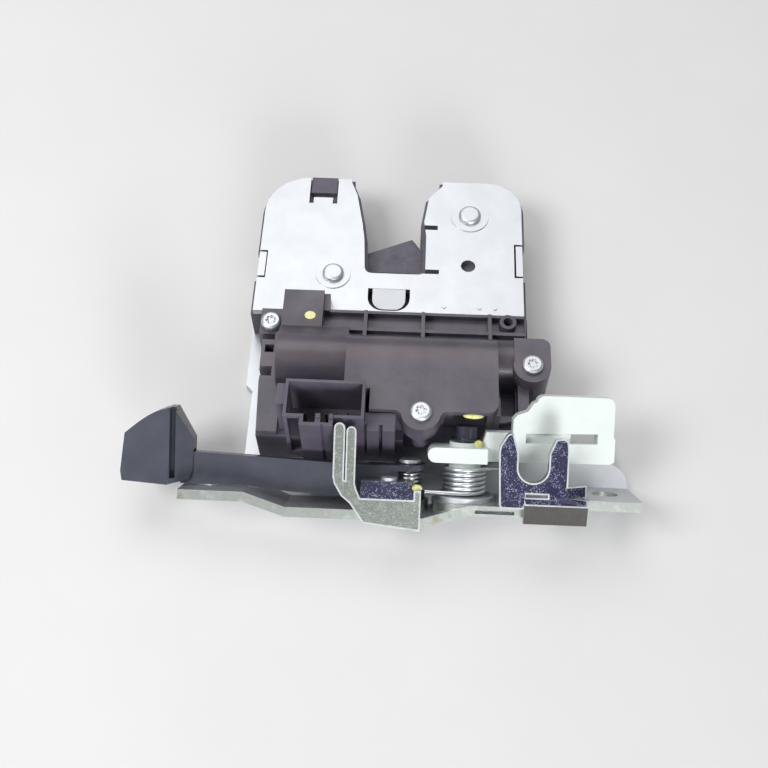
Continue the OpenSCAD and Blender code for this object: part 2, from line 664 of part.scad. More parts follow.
// niche in the box's front wall: [left, right, back]
niche = [14.8, 25.8, -55.2];
rib_places = [-7.3, 8.4, 26.5];
cell_edges = [-18.4, rib_places[0], rib_places[1], rib_places[2], 36.6];

module catch_plan() difference() {
    union() {
        sector(catch_p, catch_r, prong_low_a, prong_top_a, 30);
        translate(catch_p) circle(r = catch_hub_r);
    }
    // slot of the striker bar: round closed end, one side straight, the other flared
    polygon(concat(arc(slot_c, striker_slot_r, slot_a + 90, slot_flare_a + 270, 14),
        [slot_c + striker_slot_r * [sin(slot_flare_a), -cos(slot_flare_a)] + 22 * [cos(slot_flare_a),
            sin(slot_flare_a)],
        slot_c + 26 * [cos(50), sin(50)],
        slot_c + striker_slot_r * [-sin(slot_a), cos(slot_a)] + 24 * [cos(slot_a), sin(slot_a)]]));
    // bevel that lets the pawl's nose pass the open catch
    polygon([for (c = [[catch_r - 4.4, prong_low_a - 3], [catch_r + 4, prong_low_a - 3], [catch_r + 4,
        prong_low_a + 13]])
        catch_p + c[0] * [cos(c[1]), sin(c[1])]]);
}

module rotary_catch() color(rubber) difference() {
    union() {
        translate([0, 0, catch_z]) linear_extrude(catch_t) catch_plan();
        post(catch_p, catch_pin_r + 1, catch_z, catch_top + 0.4);
    }
    post(catch_p, catch_pin_r + run_gap, catch_z - 1, catch_top + 2);
}

// rivet with a shank between the two plates, necks through them and a domed head
module latch_rivet(p, shank_r, head_r) {
    post(p, shank_r, frame_t, plate_z);
    post(p, shank_r + 1.6, frame_t, catch_z - 0.1);
    post(p, rivet_neck_r, 0, plate_z + plate_t + 0.4);
    translate([p[0], p[1], plate_z + plate_t + 0.3]) rotate_extrude() polygon(concat([[0, 0]],
        [for (i = [0:6]) [head_r - 1 + sin(90 - 15 * i), 0.5 + 0.9 * sin(15 * i)]], [[0, 1.4]]));
    translate([p[0], p[1], plate_z + plate_t + 0.3]) cylinder(r = head_r, h = 0.5);
}

module catch_rivet() color(steel) latch_rivet(catch_p, catch_pin_r, 3);

module pawl_rivet() color(steel) latch_rivet(pawl_p, pawl_pin_r, 3.2);

module catch_spring() color(steel) translate([catch_p[0], catch_p[1], catch_top + 1])
    wire(coil_route(7.2, 1.5, 1.2, 205, 1.5, 1.5), 0.5);

module pawl_spring() color(steel) translate([pawl_p[0], pawl_p[1], catch_top + 1])
    wire(coil_route(5.5, 1.5, 1.2, 60, 1.5, 1.5), 0.5);

// the nose lies just outside the catch's path, the tail carries the link pin
nose = [[11.8, -9.1], [15.6, -8.8], [20.4, -1], [27, 10], [pawl_x + 3, pawl_y + 2], [pawl_x - 4,
    pawl_y - 2], [14.6, 3],
    [12, -3]];

module pawl() color(steel) difference() {
    union() {
        translate([0, 0, catch_z]) linear_extrude(catch_t) union() {
            polygon(nose);
            translate(pawl_p) circle(r = pawl_hub_r);
        }
        translate([0, 0, slider_z + slider_t + 0.2]) linear_extrude(catch_top - slider_z - slider_t -
            0.2) union() {
            polygon([[pawl_x, pawl_y + 4], [link_p[0], link_p[1] + 2.6], [link_p[0], link_p[1] - 2.6],
                [pawl_x, pawl_y - 5]]);
            translate(link_p) circle(r = 2.6);
        }
        post(link_p, link_pin_r, slider_z + 0.2, catch_top);
    }
    // room for the slider's end under the tail
    block(slider_x - slider_w / 2 - 1, slider_x + 6, pawl_y - 20, pawl_y + 1.6, catch_z - 1,
        slider_z + 0.2 - 0.01);
    difference() {
        block(slider_x - slider_w / 2 - 0.9, slider_x + 6, pawl_y - 20, pawl_y + 1.6, slider_z,
            slider_z + slider_t + 0.2);
        post(link_p, link_pin_r, slider_z + 0.2, catch_top);
    }
    post(pawl_p, pawl_pin_r + run_gap, catch_z - 1, catch_top + 1);
}

module throat_buffer() color(rubber) block(-5.2, 5.2, -8.6, -5, plate_z - 2.2, plate_z - 0.1);

module release_slider() color(nylon) difference() {
    union() {
        block(slider_x - slider_w / 2, slider_x + slider_w / 2, slider_foot_y, link_p[1] + 3, slider_z,
            slider_z + slider_t);
        block(foot_x0, slider_x + slider_w / 2, slider_foot_y, slider_foot_y + 2.2, slider_z,
            slider_z + slider_t);
        block(foot_x0, foot_x1, slider_foot_y, slider_foot_y + 2.2, slider_z, part_z - 1.6);
    }
    // cross slot of the link pin
    block(slider_x - slider_w / 2 - 1, slider_x + slider_w / 2 + 1, link_p[1] - link_pin_r - 0.25,
        link_p[1] + link_pin_r + 0.25, slider_z - 1, slider_z + slider_t + 1);
}

module along_motor(x) translate([x, -motor_y, motor_z]) rotate([0, 90, 0]) children();

module motor() color(steel) difference() {
    union() {
        along_motor(box_left - dome_len + wall + 0.4) cylinder(r = motor_r, h = 15);
        along_motor(box_left - dome_len + wall + 15.3) cylinder(r = 2.4, h = 1.8);
        for (y = [-3, 3]) block(-29.8, box_left - dome_len + wall + 0.6, -motor_y + y - 0.4,
            -motor_y + y + 0.4, base_floor + 0.8, part_z - 0.4);
    }
    // flats of the can, and the shaft's bore
    for (s = [-1, 1]) block(-28.4, -8, -motor_y - motor_r, -motor_y + motor_r, motor_z + s * 7.1 - 2,
        motor_z + s * 7.1 + 2);
    along_motor(-24) cylinder(r = 1 + run_gap, h = 20);
}

module motor_worm() color(brass) {
    along_motor(-20) cylinder(r = 1, h = worm_to + 22.8);
    along_motor(worm_from) cylinder(r = worm_r - 0.5, h = worm_to - worm_from);
    // crests of the thread
    for (x = [worm_from + 1:2.7:worm_to - 1.5]) along_motor(x) cylinder(r = worm_r, h = 1.1);
}

module worm_bearings() color(nylon) for (x = [1.6, worm_to + 0.4]) difference() {
    union() {
        along_motor(x) cylinder(r = 2.4, h = 2);
        block(x, x + 2, -motor_y - 2, -motor_y + 2, base_floor, motor_z);
    }
    along_motor(x - 1) cylinder(r = 1 + run_gap, h = 4);
}

module worm_gear() color(nylon) difference() {
    union() {
        translate([gear_x, gear_y, motor_z - gear_t / 2]) linear_extrude(gear_t) polygon([for (i =
            [0:gear_teeth - 1],
            k = [0:3]) let (a = 360 * (i + [0.02, 0.3, 0.5, 0.8][k]) / gear_teeth,
                r = k == 1 || k == 2 ? gear_r : gear_r - 1.1)
            [r * cos(a), r * sin(a)]]);
        post([gear_x, gear_y], 3, motor_z - gear_t / 2 - 1, motor_z + 4);
        // cam peg that pushes the slider's foot
        post([gear_x + cam_r, gear_y], cam_peg_r, part_z - 3.4, motor_z);
    }
    post([gear_x, gear_y], axle_r + run_gap, part_z - 6, cover_top);
}

module gear_axle() color(steel) post([gear_x, gear_y], axle_r, base_floor - 3, cover_top - 2.1);

module switch_case(x0, y0, z0, l, w, h) {
    block(x0, x0 + l, y0, y0 + w, z0, z0 + h);
    for (i = [0:2]) block(x0 + 1.4 + i * (l - 3.6) / 2, x0 + 2 + i * (l - 3.6) / 2, y0 + w / 2 - 0.8,
        y0 + w / 2 + 0.8,
        z0 + h - eps, z0 + h + 2);
    block(x0 + l / 2 - 0.8, x0 + l / 2 + 0.8, y0 + w / 2 - 1.2, y0 + w / 2 + 1.2, z0 + h - eps,
        z0 + h + 0.6);
}

module catch_switch() color(black) switch_case(-27.6, -28.2, base_floor, 8, 5.4, 3.6);

// stands between the front wall and the worm's end bearing
module pawl_switch() color(black) translate([28.4, wall - base_recess + move_gap, base_floor])
    rotate([0, 0, 90]) switch_case(0, 0, 0, base_recess - wall - motor_y - 6.3, 5.6, 3.4);

module contact_pins() color(brass) for (i = [0:pin_count - 1])
    block(pin_at(i) - 0.32, pin_at(i) + 0.32, conn_y - 0.32, conn_y + 0.32, base_floor + 0.5,
        conn_top - 8);

module contact_strips() color(brass) {
    for (i = [0:pin_count - 1]) block(pin_at(i) - 0.6, pin_at(i) + 0.6, conn_y - 0.32, -50 + i * 0.8,
        base_floor,
        base_floor + 0.5);
    block(-31.4, pin_at(0) + 0.6, -49.6, -48.4, base_floor, base_floor + 0.5);
}

module pan_screw(s) {
    post(s, screw_r - 0.05 - 0.02, s[2] - screw_len, s[2] + 0.1);
    difference() {
        union() {
            post(s, screw_head_r, s[2], s[2] + screw_head_h - 0.5);
            translate([s[0], s[1], s[2] + screw_head_h - 0.5]) cylinder(r1 = screw_head_r,
                r2 = screw_head_r - 0.6, h = 0.5);
        }
        // six-point recess
        for (a = [0, 60, 120]) translate([s[0], s[1], s[2] + 0.9]) rotate([0, 0, a + 15])
            translate([-1.3, -0.35, 0]) cube([2.6, 0.7, 3]);
    }
}

module cover_screws() color(steel) for (s = [screw_left, screw_right, screw_front]) pan_screw(s);

// side profile of the cable lever: rounded left end, hub plate, thick middle, tall block with its slot
module lever_profile() difference() {
    union() {
        polygon(concat(arc([13.1, lever_low + lever_t / 2], lever_t / 2, 270, 90, 6),
            [[24.6, lever_low + lever_t], [25.8, lever_mid], [lever_end - 0.6, lever_mid], [lever_end,
                lever_mid - 0.6],
            [lever_end, lever_low + 1.2], [lever_end - 1, lever_low + 0.6]]));
        polygon(concat([[32.4, lever_mid - 1], [32.4, lever_mid + 3.4], [33.4, lever_mid + 4.6],
            [block_from - 2.2, lever_mid + 5.6], [block_from - 0.8, block_top - 2]],
            arc([block_from + 2, block_top - 2], 2, 170, 90, 4),
            arc([lever_end - 2.4, block_top - 2], 2, 90, 0, 4), [[lever_end - 0.4, lever_mid - 1]]));
    }
    // slot of the cable nipple
    polygon([[block_from + 9, lever_low + 5.4], [lever_end - 4.4, lever_low + 5.6], [lever_end - 4.4,
        lever_mid + 0.5], [block_from + 9, lever_mid + 0.3]]);
}

module release_lever() color(nylon) on_flange() difference() {
    union() {
        flange_slab(lever_back, lever_front) lever_profile();
        flange_disc(lever_x, lever_w, lever_hub_r, lever_low, lever_low + lever_t);
        // drum inside the spring, and the flat band in front of the hub
        flange_disc(lever_x, lever_w, lever_pin_r + 1.6, seat_v + 0.3, lever_low + lever_t + 1);
        flange_slab(lever_w, lever_w + lever_hub_r) polygon(concat(arc([12.9, lever_low + lever_t / 2],
            lever_t / 2, 270, 90, 6), [[26, lever_low + lever_t], [26, lever_low]]));
    }
    flange_disc(lever_x, lever_w, lever_pin_r + run_gap, -1, 30);
    // shallow run of the slot along the front
    flange_slab(lever_front - 1.6, lever_front + 1) polygon([[block_from - 2.5, lever_low + 5.2],
        [block_from + 9.1, lever_low + 5.4], [block_from + 9.1, lever_mid + 0.3],
        [block_from - 2.5, lever_mid]]);
    // hollows in the back of the tall block
    for (x = [block_from + 2.4, block_from + 8.8]) translate([x, -lever_back - 2.6, lever_mid + 2.6])
        cube([5, 3, block_top - lever_mid - 4.6]);
}

module lever_pin() color(steel) on_flange() {
    flange_disc(lever_x, lever_w, lever_pin_r, flat_v - 2.2, lever_low + lever_t + 1.4);
    // foot and tall head over the lever, in the niche of the cover's front
    flange_disc(lever_x, lever_w, lever_pin_r + 1.2, lever_low + lever_t + 1.3,
        lever_low + lever_t + 1.9);
    flange_disc(lever_x, lever_w, lever_pin_r + 0.4, lever_low + lever_t + 1.8, 16.6);
}

module lever_washer() color(zinc) on_flange() difference() {
    flange_disc(lever_x, lever_w, 7.6, flat_v, seat_v);
    flange_disc(lever_x, lever_w, lever_pin_r + bolt_gap, flat_v - 1, seat_v + 1);
}

module lever_spring() color(steel) on_flange() translate([lever_x, -lever_w, seat_v + 0.8])
    wire(coil_route(5.1, 5.1, 1.2, 262, 9.5, 8.5), 0.55);

// front plate of the cable fork: two horns beside the notch, side web, and the lip below the flange's edge
module fork_profile() difference() {
    union() {
        translate([fork_x - fork_w / 2, flat_v]) polygon(concat([[0.6, 0.6], [1.4, 0], [fork_w, 0],
            [fork_w, fork_h - 4]], arc([fork_w - 1.7, fork_h - 2.4], 1.5, 20, 100, 4),
            [[fork_w - 3.4, fork_h - 1.2], [fork_w - 5, fork_h - 4], [5, fork_h - 4]],
            arc([3, fork_h - 1.5], 1.5, 30, 160, 6), [[0.3, fork_h - 3.2], [0, fork_h - 4.8]]));
    }
    // notch for the cable sleeve, with a round bottom and flared lips
    translate([fork_x, 8]) circle(r = notch_w / 2);
    translate([fork_x - notch_w / 2, 8]) square([notch_w, 20]);
    polygon([[fork_x - notch_w / 2, 11.4], [fork_x - notch_w / 2 - 1.4, 16.2], [fork_x - 4.8, 30],
        [fork_x + 5.6, 30], [fork_x + notch_w / 2 + 1.8, 16], [fork_x + notch_w / 2, 11.6]]);
    // low window over the foot
    translate([fork_x - 1.6, -0.9]) square([5.4, 2.3]);
}

module cable_fork() color(zinc) on_flange() difference() {
    union() {
        flange_slab(front_w, front_w + fork_t) fork_profile();
        // lip below the flange's edge, flared towards the front, and the web bent back beside the plate
        translate([fork_x - 2, 0, 0]) rotate([90, 0, 90]) linear_extrude(15.6) polygon([[-front_w, 0.6],
            [-front_w - fork_t, 0.6], [-front_w - 3.3, flat_v + 1.2], [-front_w - 2.1, flat_v - 3.6],
            [-front_w - 0.1, flat_v - 3.6]]);
        translate([0, 0, flat_v + 2.7]) linear_extrude(3.3) polygon([[fork_x + 8, -front_w - 0.1],
            [fork_x + 8, -front_w - fork_t], [fork_x + fork_w / 2, -front_w - fork_t],
            [fork_x + 13.8, -front_w + 1.4], [fork_x + 12.6, -front_w + 3]]);
        // foot on the flange
        flange_slab(10.6, front_w + 0.2) translate([fork_x - fork_w / 2 + 0.6, flat_v])
            square([fork_w - 0.6, seat_v - flat_v]);
    }
    for (x = fork_rivet_x) flange_disc(x, fork_rivet_w, 1.2 + bolt_gap, -8, 9);
}

module flange_rivet(x, w, low, top) {
    flange_disc(x, w, 1.2, low, top + 0.1);
    flange_disc(x, w, 2.1, top, top + 0.9);
}

module fork_rivets() color(steel) on_flange() for (x = fork_rivet_x)
    flange_rivet(x, fork_rivet_w, flat_v - frame_t, seat_v);

// height of the bend between the bracket's front plate and its foot
bend_v = -1.2;

// front plate of the arm bracket: two prongs of one hook, and the lip below the flange's edge
module bracket_profile() {
    polygon(concat(arc([-11, 16.1], 1.4, 180, 0, 6), [[-9.6, 3], [-12.4, 3.6]]));
    polygon(concat(arc([-8.05, 15.4], 1.25, 180, 0, 6), [[-6.8, 2], [-9.3, 2]]));
    polygon([[-12.4, 4], [-12, 2.2], [-10.2, -0.8], [-8, -2.6], [-4.6, pad_v - 7.8], [9.6, pad_v - 9.4],
        [9.6, 1.2], [7.8, 1.2], [7.8, bend_v], [-5.4, bend_v], [-6.4, 1], [-6.8, 2.4]]);
}

module arm_bracket() color(zinc) on_flange() {
    flange_slab(front_w, front_w + fork_t) bracket_profile();
    difference() {
        // foot over the raised pad, and the slope down to the front plate
        translate([-5.4, 0, 0]) rotate([90, 0, 90]) linear_extrude(13.2) polygon([[-13.2, pad_v], [-13.2,
            pad_v + 2.2], [-17.7, pad_v + 2.2], [-front_w - fork_t, bend_v], [-front_w - fork_t,
            bend_v - 1.2], [-front_w, bend_v - 1.2], [-16.8, pad_v]]);
        flange_disc(bracket_rivet_x, bracket_rivet_w, 1.2 + bolt_gap, -12, 9);
    }
}

module bracket_rivet() color(steel) on_flange()
    flange_rivet(bracket_rivet_x, bracket_rivet_w, centre_v - frame_t, pad_v + 2.2);

// upper surface of the arm's bar falls slightly to the right
arm_drop = 1.7;
arm_low_left = -0.8;
arm_low_right = arm_low_left - arm_drop;
arm_back = 9.6;

module emergency_arm() color(black) on_flange() difference() {
    union() {
        flange_slab(arm_back, arm_back + arm_t) polygon([[-arm_left - 3, arm_low_left], [-34,
            arm_low_left], [-24, arm_low_right + 0.6], [-10, arm_low_right],
            [1.2, arm_low_right - 0.2], [1.2, arm_low_right + arm_h - 0.2], [-10, arm_low_right + arm_h],
            [-arm_left - 3, arm_low_left + arm_h]]);
        // hub: two cheeks on the pin, with the return spring between them
        for (v = [[arm_low_right - 0.4, 1.5], [arm_low_right + arm_h - 1.5, 1.5]]) {
            flange_disc(arm_x, arm_w, 4, v[0], v[0] + v[1]);
            translate([-1.2, -arm_back - arm_t, v[0]]) cube([arm_x + 1.2, arm_t + 0.6, v[1]]);
        }
        translate([-4, -arm_back - arm_t, arm_low_right - 0.2]) cube([5.4, 5.4, arm_h]);
    }
    flange_disc(arm_x, arm_w, arm_pin_r + run_gap, -6, 12);
}

// outline of the wedge: upright right side, convex rise from the left end
module wedge_profile() polygon(concat([[-arm_left - 5.6, arm_low_left], [-arm_left - wedge_len + 0.4,
    arm_low_left + 0.8], [-arm_left - wedge_len, arm_low_left + 3.2]],
    [for (i = [0:8]) let (t = i / 8) [-arm_left - wedge_len + 1 + (wedge_len - 5.4) * t,
        arm_low_left + 12.9 + (wedge_h - 12.9) * sin(90 * t)]]));

module arm_wedge() color(black) on_flange() difference() {
    union() {
        flange_slab(7.4, 16) wedge_profile();
        // slanted shoulder towards the bar
        intersection() {
            translate([0, 0, arm_low_left]) linear_extrude(wedge_h) polygon([[-arm_left - 6, -7.4],
                [-arm_left + 0.4, -8.6], [-arm_left + 0.4, -12.9], [-arm_left - 5.4, -15.8],
                [-arm_left - 6, -15.8]]);
            flange_slab(7, 17) polygon([[-arm_left - 6, arm_low_left], [-arm_left - 0.6,
                arm_low_left + 1.2], [-arm_left + 0.2, arm_low_left + 3.4], [-arm_left + 0.4,
                arm_low_left + 11.8], [-arm_left - 4.4, arm_low_left + wedge_h], [-arm_left - 6,
                arm_low_left + wedge_h]]);
        }
    }
    // socket for the end of the bar, and the groove behind the front face
    flange_slab(arm_back - 0.1, arm_back + arm_t + 0.1) translate([-arm_left - 3.1, arm_low_left - 1])
        square([8, arm_h + 1.4]);
    translate([-arm_left - 5.2, -17, arm_low_left + 1.6]) cube([1.3, 4, 30]);
}

module arm_pin() color(steel) on_flange() {
    flange_disc(arm_x, arm_w, arm_pin_r, hub_seat_v - 3.6, arm_low_right + arm_h + 0.4);
    flange_disc(arm_x, arm_w, arm_pin_r + 1, arm_low_right + arm_h + 0.2, arm_low_right + arm_h + 1.2);
}

module arm_spring() color(steel) on_flange() translate([arm_x, -arm_w, arm_low_right + 1.8])
    wire(coil_route(2.7, 4.2, 1.02, 250, 2.2, 2.2), 0.45);

mounting_frame();
lock_plate();
housing_base();
housing_cover();
rotary_catch();
catch_rivet();
catch_spring();
pawl();
pawl_rivet();
pawl_spring();
throat_buffer();
release_slider();
motor();
motor_worm();
worm_bearings();
worm_gear();
gear_axle();
catch_switch();
pawl_switch();
contact_pins();
contact_strips();
cover_screws();
release_lever();
lever_pin();
lever_washer();
lever_spring();
cable_fork();
fork_rivets();
arm_bracket();
bracket_rivet();
emergency_arm();
arm_wedge();
arm_pin();
arm_spring();
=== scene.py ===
"""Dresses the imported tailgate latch: rounded edges, wound springs, grease, finishes and the stage."""

import json
import math

import bmesh
import bpy
from bpy.props import FloatProperty, FloatVectorProperty, IntProperty, PointerProperty
from bpy.types import Operator, Panel, PropertyGroup
from mathutils import Matrix, Vector


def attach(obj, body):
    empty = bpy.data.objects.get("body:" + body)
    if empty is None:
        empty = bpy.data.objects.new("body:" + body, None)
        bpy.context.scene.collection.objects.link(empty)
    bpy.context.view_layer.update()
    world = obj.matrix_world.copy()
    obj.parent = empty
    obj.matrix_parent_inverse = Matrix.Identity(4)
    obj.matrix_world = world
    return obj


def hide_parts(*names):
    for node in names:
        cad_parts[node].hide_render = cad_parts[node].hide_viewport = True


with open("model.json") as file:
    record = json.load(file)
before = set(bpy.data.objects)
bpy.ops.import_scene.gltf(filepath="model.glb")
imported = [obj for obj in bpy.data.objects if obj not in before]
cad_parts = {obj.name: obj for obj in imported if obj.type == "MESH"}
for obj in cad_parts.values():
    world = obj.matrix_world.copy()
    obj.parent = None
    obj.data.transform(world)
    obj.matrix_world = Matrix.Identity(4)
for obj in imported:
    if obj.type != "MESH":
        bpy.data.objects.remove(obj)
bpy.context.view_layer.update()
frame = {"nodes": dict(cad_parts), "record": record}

bl_info = {
    "name": "Tailgate latch dressing",
    "version": (1, 0, 0),
    "blender": (4, 5, 0),
    "location": "View3D > Sidebar > Latch",
    "description": "Finishes and small shapes of a powered tailgate latch",
    "category": "Object",
}

MM = 0.001
WELD = 0.000002
# Corners this close are made one before the painted highlight band is laid along them.
RIM_WELD = 0.00003
# With this slot number a rounded edge keeps the finish of the faces beside it.
OWN_FINISH = -1
# Flat faces of a solid are made whole below this angle, and edges are rounded above the other one.
FLAT_ANGLE = 0.5
SHARP_ANGLE = 32
# Shading turns sharp above these angles, on solids and on wire.
SMOOTH_ANGLE = 35
WIRE_SMOOTH_ANGLE = 50
# Sides of a wire, and steps around and up a drop.
WIRE_SIDES = 12
DROP_AROUND = 24
DROP_UP = 12

# Least share of a direction in a face's normal: where the face looks that way, where it does so on the fork,
# and where it only leans that way.
FACING = 0.9
FORK_FACING = 0.8
LEANING = 0.4
# Below this height over the flange the fork's front belongs to its lip, which takes a painted reflection of
# the shaded floor.
LIP_OVER = -0.001
# The flange frame: X along the bend, Y against the distance from the bend, Z over the flange.
FLANGE_BEND = (0, -0.0654, 0.0025)
FLANGE_LEAN = -55
FLANGE = Matrix.Translation(FLANGE_BEND) @ Matrix.Rotation(math.radians(FLANGE_LEAN), 4, "X")

# Drops of paint and grease, in millimetres: the place, then the half sizes. The last two stand in the flange
# frame, with their place along the bend, over the flange and out from the bend.
PAINT_DOT = ((-21.9, -25.4, 20), (1.5, 1.3, 0.12))
COVER_GREASE = ((22.2, -57, 24.3), (2.6, 0.8, 0.7))
BRACKET_GREASE = ((8.6, 1.6, 19.6), (1.3, 0.8, 0.9))
LEVER_GREASE = ((23.8, 12.2, 13.4), (1.2, 0.9, 1.1))

# Springs, in millimetres and degrees. The places of the first two are along, over and out on the flange.
LEVER_SPRING = {"place": (20.7, -0.2, 10.5), "turns": 5.1, "pitch": 1.2, "start": 262, "legs": (9.4, 8.4)}
ARM_SPRING = {"place": (6.7, -0.7, 8), "turns": 4.2, "pitch": 1.02, "start": 250, "legs": (2.1, 2.1)}
CATCH_SPRING = {"place": (-17, -7.9, 10.5), "turns": 1.5, "pitch": 1.2, "start": 205, "legs": (1.4, 1.4)}
PAWL_SPRING = {"place": (21.7, 14.4, 10.5), "turns": 1.5, "pitch": 1.2, "start": 60, "legs": (1.4, 1.4)}

# Lamps: name, place, side and power. All look at the part.
LAMPS = (
    ("key_light", (-0.42, -0.22, 0.56), 0.3, 2.7),
    ("front_light", (0.36, -1.5, 0.42), 0.5, 18),
    ("back_light", (-0.1, 0.42, 0.8), 0.7, 2.9),
)
LAMP_AIM = (0, -0.03, 0.01)
ROOM_COLOUR = (0.95, 0.97, 1.0, 1)
ROOM_STRENGTH = 0.4
FLOOR_HALF = 3
FLOOR_DROP = 0.0002

# Camera: place in metres, lens in millimetres, and its angles to the side and above the floor.
CAMERA_PLACE = (0.00514, -0.1841, 0.25912)
CAMERA_LENS = 49.45
CAMERA_SIDE = 2.5
CAMERA_ABOVE = 60

# Sockets of the colour mix node: share, first colour, second colour and result.
MIX_SHARE, MIX_FIRST, MIX_SECOND, MIX_RESULT = 0, 6, 7, 2


def linear(text):
    """Turns an sRGB hex colour into linear red, green and blue."""
    values = [int(text[i : i + 2], 16) / 255 for i in (1, 3, 5)]
    return tuple(v / 12.92 if v <= 0.04045 else ((v + 0.055) / 1.055) ** 2.4 for v in values)


def tint(name, text, words):
    """A colour property with an sRGB hex default."""
    return FloatVectorProperty(
        name=name, description=words, subtype="COLOR", size=3, min=0, max=1, default=linear(text)
    )


def size(name, millimetres, words):
    """A length property given in millimetres."""
    return FloatProperty(
        name=name, description=words, subtype="DISTANCE", unit="LENGTH", min=0, default=millimetres * MM
    )


class LatchSizes(PropertyGroup):
    """Roundings and wire sizes that the solids leave to the dressing."""

    sheet_edge: size("Sheet edge", 0.22, "Rounding of a punched sheet edge")
    fork_edge: size("Fork edge", 0.6, "Rounding of the fork's and the bracket's edges")
    # The rim band is a painted highlight along the fork's and the bracket's border.
    highlight_band_width: size("Rim band", 0.4, "Width of the rubbed band along the fork's and the bracket's border")
    moulded_edge: size("Moulded edge", 0.3, "Rounding of the housing's outer edges")
    lever_edge: size("Lever edge", 0.45, "Rounding of the nylon lever")
    arm_edge: size("Arm edge", 0.28, "Rounding of the arm and its wedge")
    pin_edge: size("Pin edge", 0.15, "Rounding of pins and rivets")
    catch_edge: size("Catch edge", 0.5, "Rounding of the catch's sleeve")
    pawl_edge: size("Pawl edge", 0.3, "Rounding of the pawl")
    buffer_edge: size("Buffer edge", 0.4, "Rounding of the throat's rubber buffer")
    slider_edge: size("Slider edge", 0.2, "Rounding of the release slider")
    drive_edge: size("Drive edge", 0.08, "Rounding of the small pieces inside the housing")
    lever_wire: size("Lever spring wire", 1.1, "Thickness of the lever spring's wire")
    lever_coil: size("Lever spring coil", 5.1, "Radius of the lever spring")
    arm_wire: size("Arm spring wire", 0.86, "Thickness of the arm spring's wire")
    arm_coil: size("Arm spring coil", 2.7, "Radius of the arm spring")
    well_wire: size("Well spring wire", 0.96, "Thickness of the catch's and the pawl's spring wire")
    catch_coil: size("Catch spring coil", 7.2, "Radius of the catch spring")
    pawl_coil: size("Pawl spring coil", 5.5, "Radius of the pawl spring")
    turn_steps: IntProperty(
        name="Steps a turn", description="Faces along one turn of a spring", default=28, min=12, max=64
    )


class LatchColours(PropertyGroup):
    """Colours of the finishes."""

    zinc: tint("Zinc plating", "#D3D5D9", "Bright zinc plated sheet")
    zinc_cut: tint("Cut edge", "#D9DED8", "Punched edge of the plated sheet")
    cover: tint("Cover plastic", "#4C4752", "Moulded housing cover")
    base: tint("Base plastic", "#524D5B", "Moulded housing base")
    arm: tint("Arm plastic", "#42444F", "Glossy arm and wedge")
    nylon: tint("Nylon", "#D3D9D6", "Natural nylon lever")
    # Painted reflection: the fork's outward faces mirror the dark surroundings, and this dark violet stands
    # in for that reflection.
    fork: tint("Fork face", "#262648", "Rolled face of the plated fork")
    steel: tint("Steel", "#D6D9DC", "Bright steel of springs, rivets and screws")
    grease: tint("Grease", "#D9D86A", "Fresh yellow grease")
    paint: tint("Paint dot", "#F2F08A", "Assembly mark on the cover")
    dust: tint("Dust", "#6A5D5C", "Road dust on the cover")
    pin: tint("Pin", "#2B2B38", "Blackened pin of the lever")
    # Painted highlight: the bright rim stands in for the light caught by the rounded border of the fork and
    # the bracket.
    rim: tint("Rim", "#C3C8C8", "Rubbed rim of the fork and of the bracket")
    # Painted reflection: the lip faces down to the shaded floor, and this dim brown grey stands in for that
    # reflection.
    lip: tint("Lip", "#35322E", "Coined lip of the fork")
    floor: tint("Floor", "#D9D8D7", "Plain floor")


def add(tree, kind, values=None, links=None, **settings):
    """Adds a node with its socket values, its links and its settings."""
    node = tree.nodes.new(kind)
    for key, value in settings.items():
        setattr(node, key, value)
    for key, value in (values or {}).items():
        node.inputs[key].default_value = value
    for key, socket in (links or {}).items():
        tree.links.new(socket, node.inputs[key])
    return node


def per_metre(millimetres):
    """Texture scale at which one cell of the pattern is that many millimetres wide."""
    return 1 / (millimetres * MM)


def new_finish(name, colour, roughness, metallic=0.0, ior=None):
    """A material with its shader and object coordinates, and colour, roughness and metallic set."""
    material = bpy.data.materials.new(name)
    material.use_nodes = True
    tree = material.node_tree
    shader = tree.nodes["Principled BSDF"]
    shader.inputs["Base Color"].default_value = (*colour, 1)
    shader.inputs["Roughness"].default_value = roughness
    shader.inputs["Metallic"].default_value = metallic
    if ior:
        shader.inputs["IOR"].default_value = ior
    place = add(tree, "ShaderNodeTexCoord").outputs["Object"]
    return material, tree, shader, place


def patches(tree, place, grain, detail, roughness):
    """A noise whose patches are that many millimetres wide. Returns its level."""
    values = {"Scale": per_metre(grain), "Detail": detail, "Roughness": roughness}
    return add(tree, "ShaderNodeTexNoise", values, {"Vector": place}).outputs["Fac"]


def banded(tree, level, stops):
    """Turns a level into a colour by stops, from low to high, each a position and a colour."""
    ramp = add(tree, "ShaderNodeValToRGB", links={"Fac": level})
    elements = ramp.color_ramp.elements
    for element, (position, colour) in zip(elements, (stops[0], stops[-1])):
        element.position = position
        element.color = (*colour, 1)
    for position, colour in stops[1:-1]:
        elements.new(position).color = (*colour, 1)
    return ramp.outputs["Color"]


def clouded(tree, shader, place, colours, grain):
    """Drifts the base colour between two colours in patches of one size, in millimetres."""
    level = patches(tree, place, grain, 4.0, 0.6)
    drift = banded(tree, level, ((0.35, colours[0]), (0.65, colours[1])))
    tree.links.new(drift, shader.inputs["Base Color"])


def grained(tree, shader, place, grain, strength, depth=0.02):
    """Gives the surface a fine bump of one grain size, in millimetres."""
    height = patches(tree, place, grain, 3.0, 0.55)
    bump = add(tree, "ShaderNodeBump", {"Strength": strength, "Distance": depth * MM}, {"Height": height})
    tree.links.new(bump.outputs["Normal"], shader.inputs["Normal"])


def shade(colour, factor):
    """A lighter or darker version of a colour."""
    return tuple(min(1, c * factor) for c in colour)


def mix(a, b, t):
    """A colour between two colours."""
    return tuple(x + (y - x) * t for x, y in zip(a, b))


